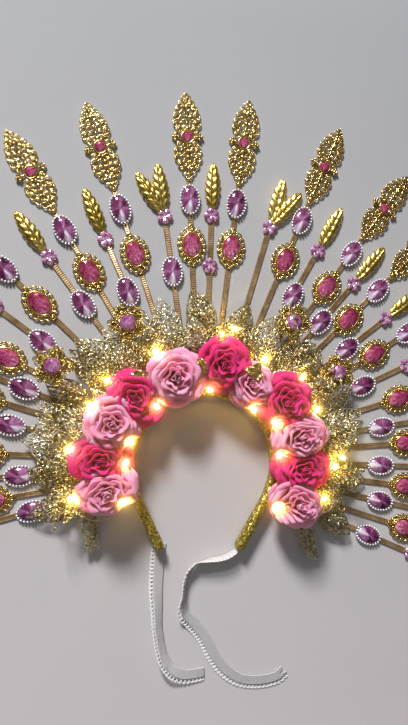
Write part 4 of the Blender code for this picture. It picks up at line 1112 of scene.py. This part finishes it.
laceThread, tree = newFinish("lace thread", {
    "Roughness": 0.8, "Sheen Weight": 0.2, "Specular IOR Level": 0.2})
twist = noiseOf(tree, 900)
# the colour follows the relief of the twist, darker in its dents: painted shade
paint(tree, twist, [(0.3, (0.78, 0.76, 0.76)), (0.7, (0.97, 0.96, 0.96))])
emboss(tree, twist, 0.2, 0.6)


def tieShape(side, route):
    # strip: middle line + across * u * width / 2, where across turns from flat to upright with
    # the lean
    half, thick = ties["wide"] / 2, ties["thick"]
    legTip = archLine(side * bandEnd, arch["radius"])
    line = smoothLine(route, 8)
    along = line[:, :2] * ties["drop"] + legTip[:2]
    travelled = lengthAlong(along)
    even = np.arange(0, travelled[-1], ties["step"])
    along = np.stack([np.interp(even, travelled, row) for row in along.T], -1)
    lean = np.radians(np.clip(np.interp(even, travelled, line[:, 2]), 0, 90))[:, None]
    run = unit(np.gradient(along, axis=0))
    run = np.concatenate([run, 0 * run[:, :1]], -1)
    flatSide = xyz(run[:, 1], -run[:, 0], 0)
    across = flatSide * cos(lean) + np.array([0, 0, 1]) * sin(lean)
    normal = np.cross(run, across)
    normal *= np.where(normal[:, 2:] < 0, -1, 1)
    middle = np.concatenate([along, half * sin(lean) + thick * 0.6 + 0.05], -1)
    u = np.linspace(-1, 1, 11)
    start, end = ties["woven"]
    reach = half * (start + (end - start) * (u + 1) / 2)
    ripple = 0.25 * sin(even / 2.1)[:, None] * np.abs(u) * sin(lean)
    grid = middle[:, None] + across[:, None] * reach[:, None] + normal[:, None] * ripple[..., None]
    if side > 0:
        # the right tie's end is frayed into a fork
        last = np.clip((even - even[-1] + ties["frayed"]) / ties["frayed"], 0, 1)[:, None]
        notch = last * np.exp(-((u - 0.1) / 0.35)**2) * 7
        grid -= run[:, None] * notch[..., None]
    upward = np.cross(run[0], across[0])[2] > 0
    lace = []
    for first, out, radius, corners in ties["loops"]:
        at = slice(first, -2, 3)
        turn = fullTurn(corners)[:, None]
        ring = run[at, None] * cos(turn) * 0.8 + across[at, None] * sin(turn)
        loops = (middle + across * half * out)[at, None] + ring * radius
        lace.append(tube(loops, ties["thread"], 4, up=normal[at, None], closed=True))
    cloth = shells(grid[:, ::-1] if upward else grid, thick)
    return cloth, merged(lace), xyz(even[:, None], half * u, 0)


for sideName, side in (("left", -1), ("right", 1)):
    cloth, lace, flat = tieShape(side, ties[sideName])
    tie = makePiece("elastic_tie_" + sideName, [(cloth, laceElastic, True)], ["tie_" + sideName])
    uvMap = tie.data.uv_layers.new(name="UVMap")
    corners = np.zeros(len(tie.data.loops), np.int32)
    tie.data.loops.foreach_get("vertex_index", corners)
    flat = np.concatenate([flat[..., :2].reshape(-1, 2)] * 2)
    uvMap.data.foreach_set("uv", flat[corners].astype(np.float32).ravel())
    edging = makePiece("tie_lace_" + sideName, [(lace, laceThread, True)], [])


# Ground, light and camera

ground = {"half": 4, "drop": 0.0002}
floorFinish, tree = newFinish("pale table", {"Roughness": 0.9, "Specular IOR Level": 0.08})
# painted shade: the floor's colour darkens toward +Y, under a faint large cloud of tone
across = addNode(tree, "SeparateXYZ", {"Vector": placeOf(tree)}).outputs["Y"]
calm = worked(tree, "MULTIPLY_ADD", noiseOf(tree, 3, 4), 0.16, 0.42)
paint(tree, worked(tree, "MULTIPLY_ADD", across, -0.9, calm), [
    (0.2, (0.35, 0.355, 0.37)), (0.5, (0.47, 0.455, 0.46)), (0.85, (0.7, 0.645, 0.66))])
floorMesh = bpy.data.meshes.new("ground")
floorMesh.from_pydata([(x * ground["half"], y * ground["half"], -ground["drop"])
                       for x, y in ((-1, -1), (1, -1), (1, 1), (-1, 1))], [], [(0, 1, 2, 3)])
floorMesh.materials.append(floorFinish)
inScene("ground", floorMesh)

studio = {
    # where each lamp stands, what it looks at, its size in metres and its watts
    "key lamp": ((-0.75, 1.85, 1.22), (0, 0, 0), 0.42, 84),
    "fill lamp": ((0.1, 0.45, 1.3), (0, 0, 0), 1, 1.2),
    "front lamp": ((-0.1, -1, 1), (0, -0.25, 0), 0.9, 1.8),
}
sky = {"colour": (0.9, 0.93, 1, 1), "strength": 0.06}
for name, (start, target, size, watts) in studio.items():
    lamp = bpy.data.lights.new(name, "AREA")
    lamp.size, lamp.energy = size, watts
    lampObject = inScene(name, lamp)
    lampObject.location = start
    aim = (Vector(target) - Vector(start)).to_track_quat("-Z", "Y")
    lampObject.rotation_euler = aim.to_euler()
world = bpy.data.worlds.new("studio")
world.use_nodes = True
world.node_tree.nodes["Background"].inputs["Color"].default_value = sky["colour"]
world.node_tree.nodes["Background"].inputs["Strength"].default_value = sky["strength"]
stage = bpy.context.scene
stage.world = world

view = {"place": (-0.0892, 0.0259, 0.4857), "right": (0.9835, 0.0523, 0.1734),
        "up": (-0.0515, 0.9986, -0.0091), "back": (-0.1736, 0, 0.9848), "lens": 27.2}
camera = inScene("camera", bpy.data.cameras.new("camera"))
axes = Matrix((view["right"], view["up"], view["back"])).transposed().to_4x4()
camera.matrix_world = Matrix.Translation(view["place"]) @ axes
camera.data.lens = view["lens"]
camera.data.clip_start = 0.01
stage.camera = camera

# a soft glare round the bulbs
stage.view_settings.view_transform = "Standard"
stage.use_nodes = True
nodes = stage.node_tree
nodes.nodes.clear()
layers = nodes.nodes.new("CompositorNodeRLayers")
glare = nodes.nodes.new("CompositorNodeGlare")
glare.glare_type = "FOG_GLOW"
glare.quality = "HIGH"
for key, value in {"Threshold": 2.5, "Strength": 0.8, "Size": 0.35}.items():
    if key in glare.inputs:
        glare.inputs[key].default_value = value
out = nodes.nodes.new("CompositorNodeComposite")
nodes.links.new(layers.outputs["Image"], glare.inputs["Image"])
nodes.links.new(glare.outputs["Image"], out.inputs["Image"])

print("scene made")
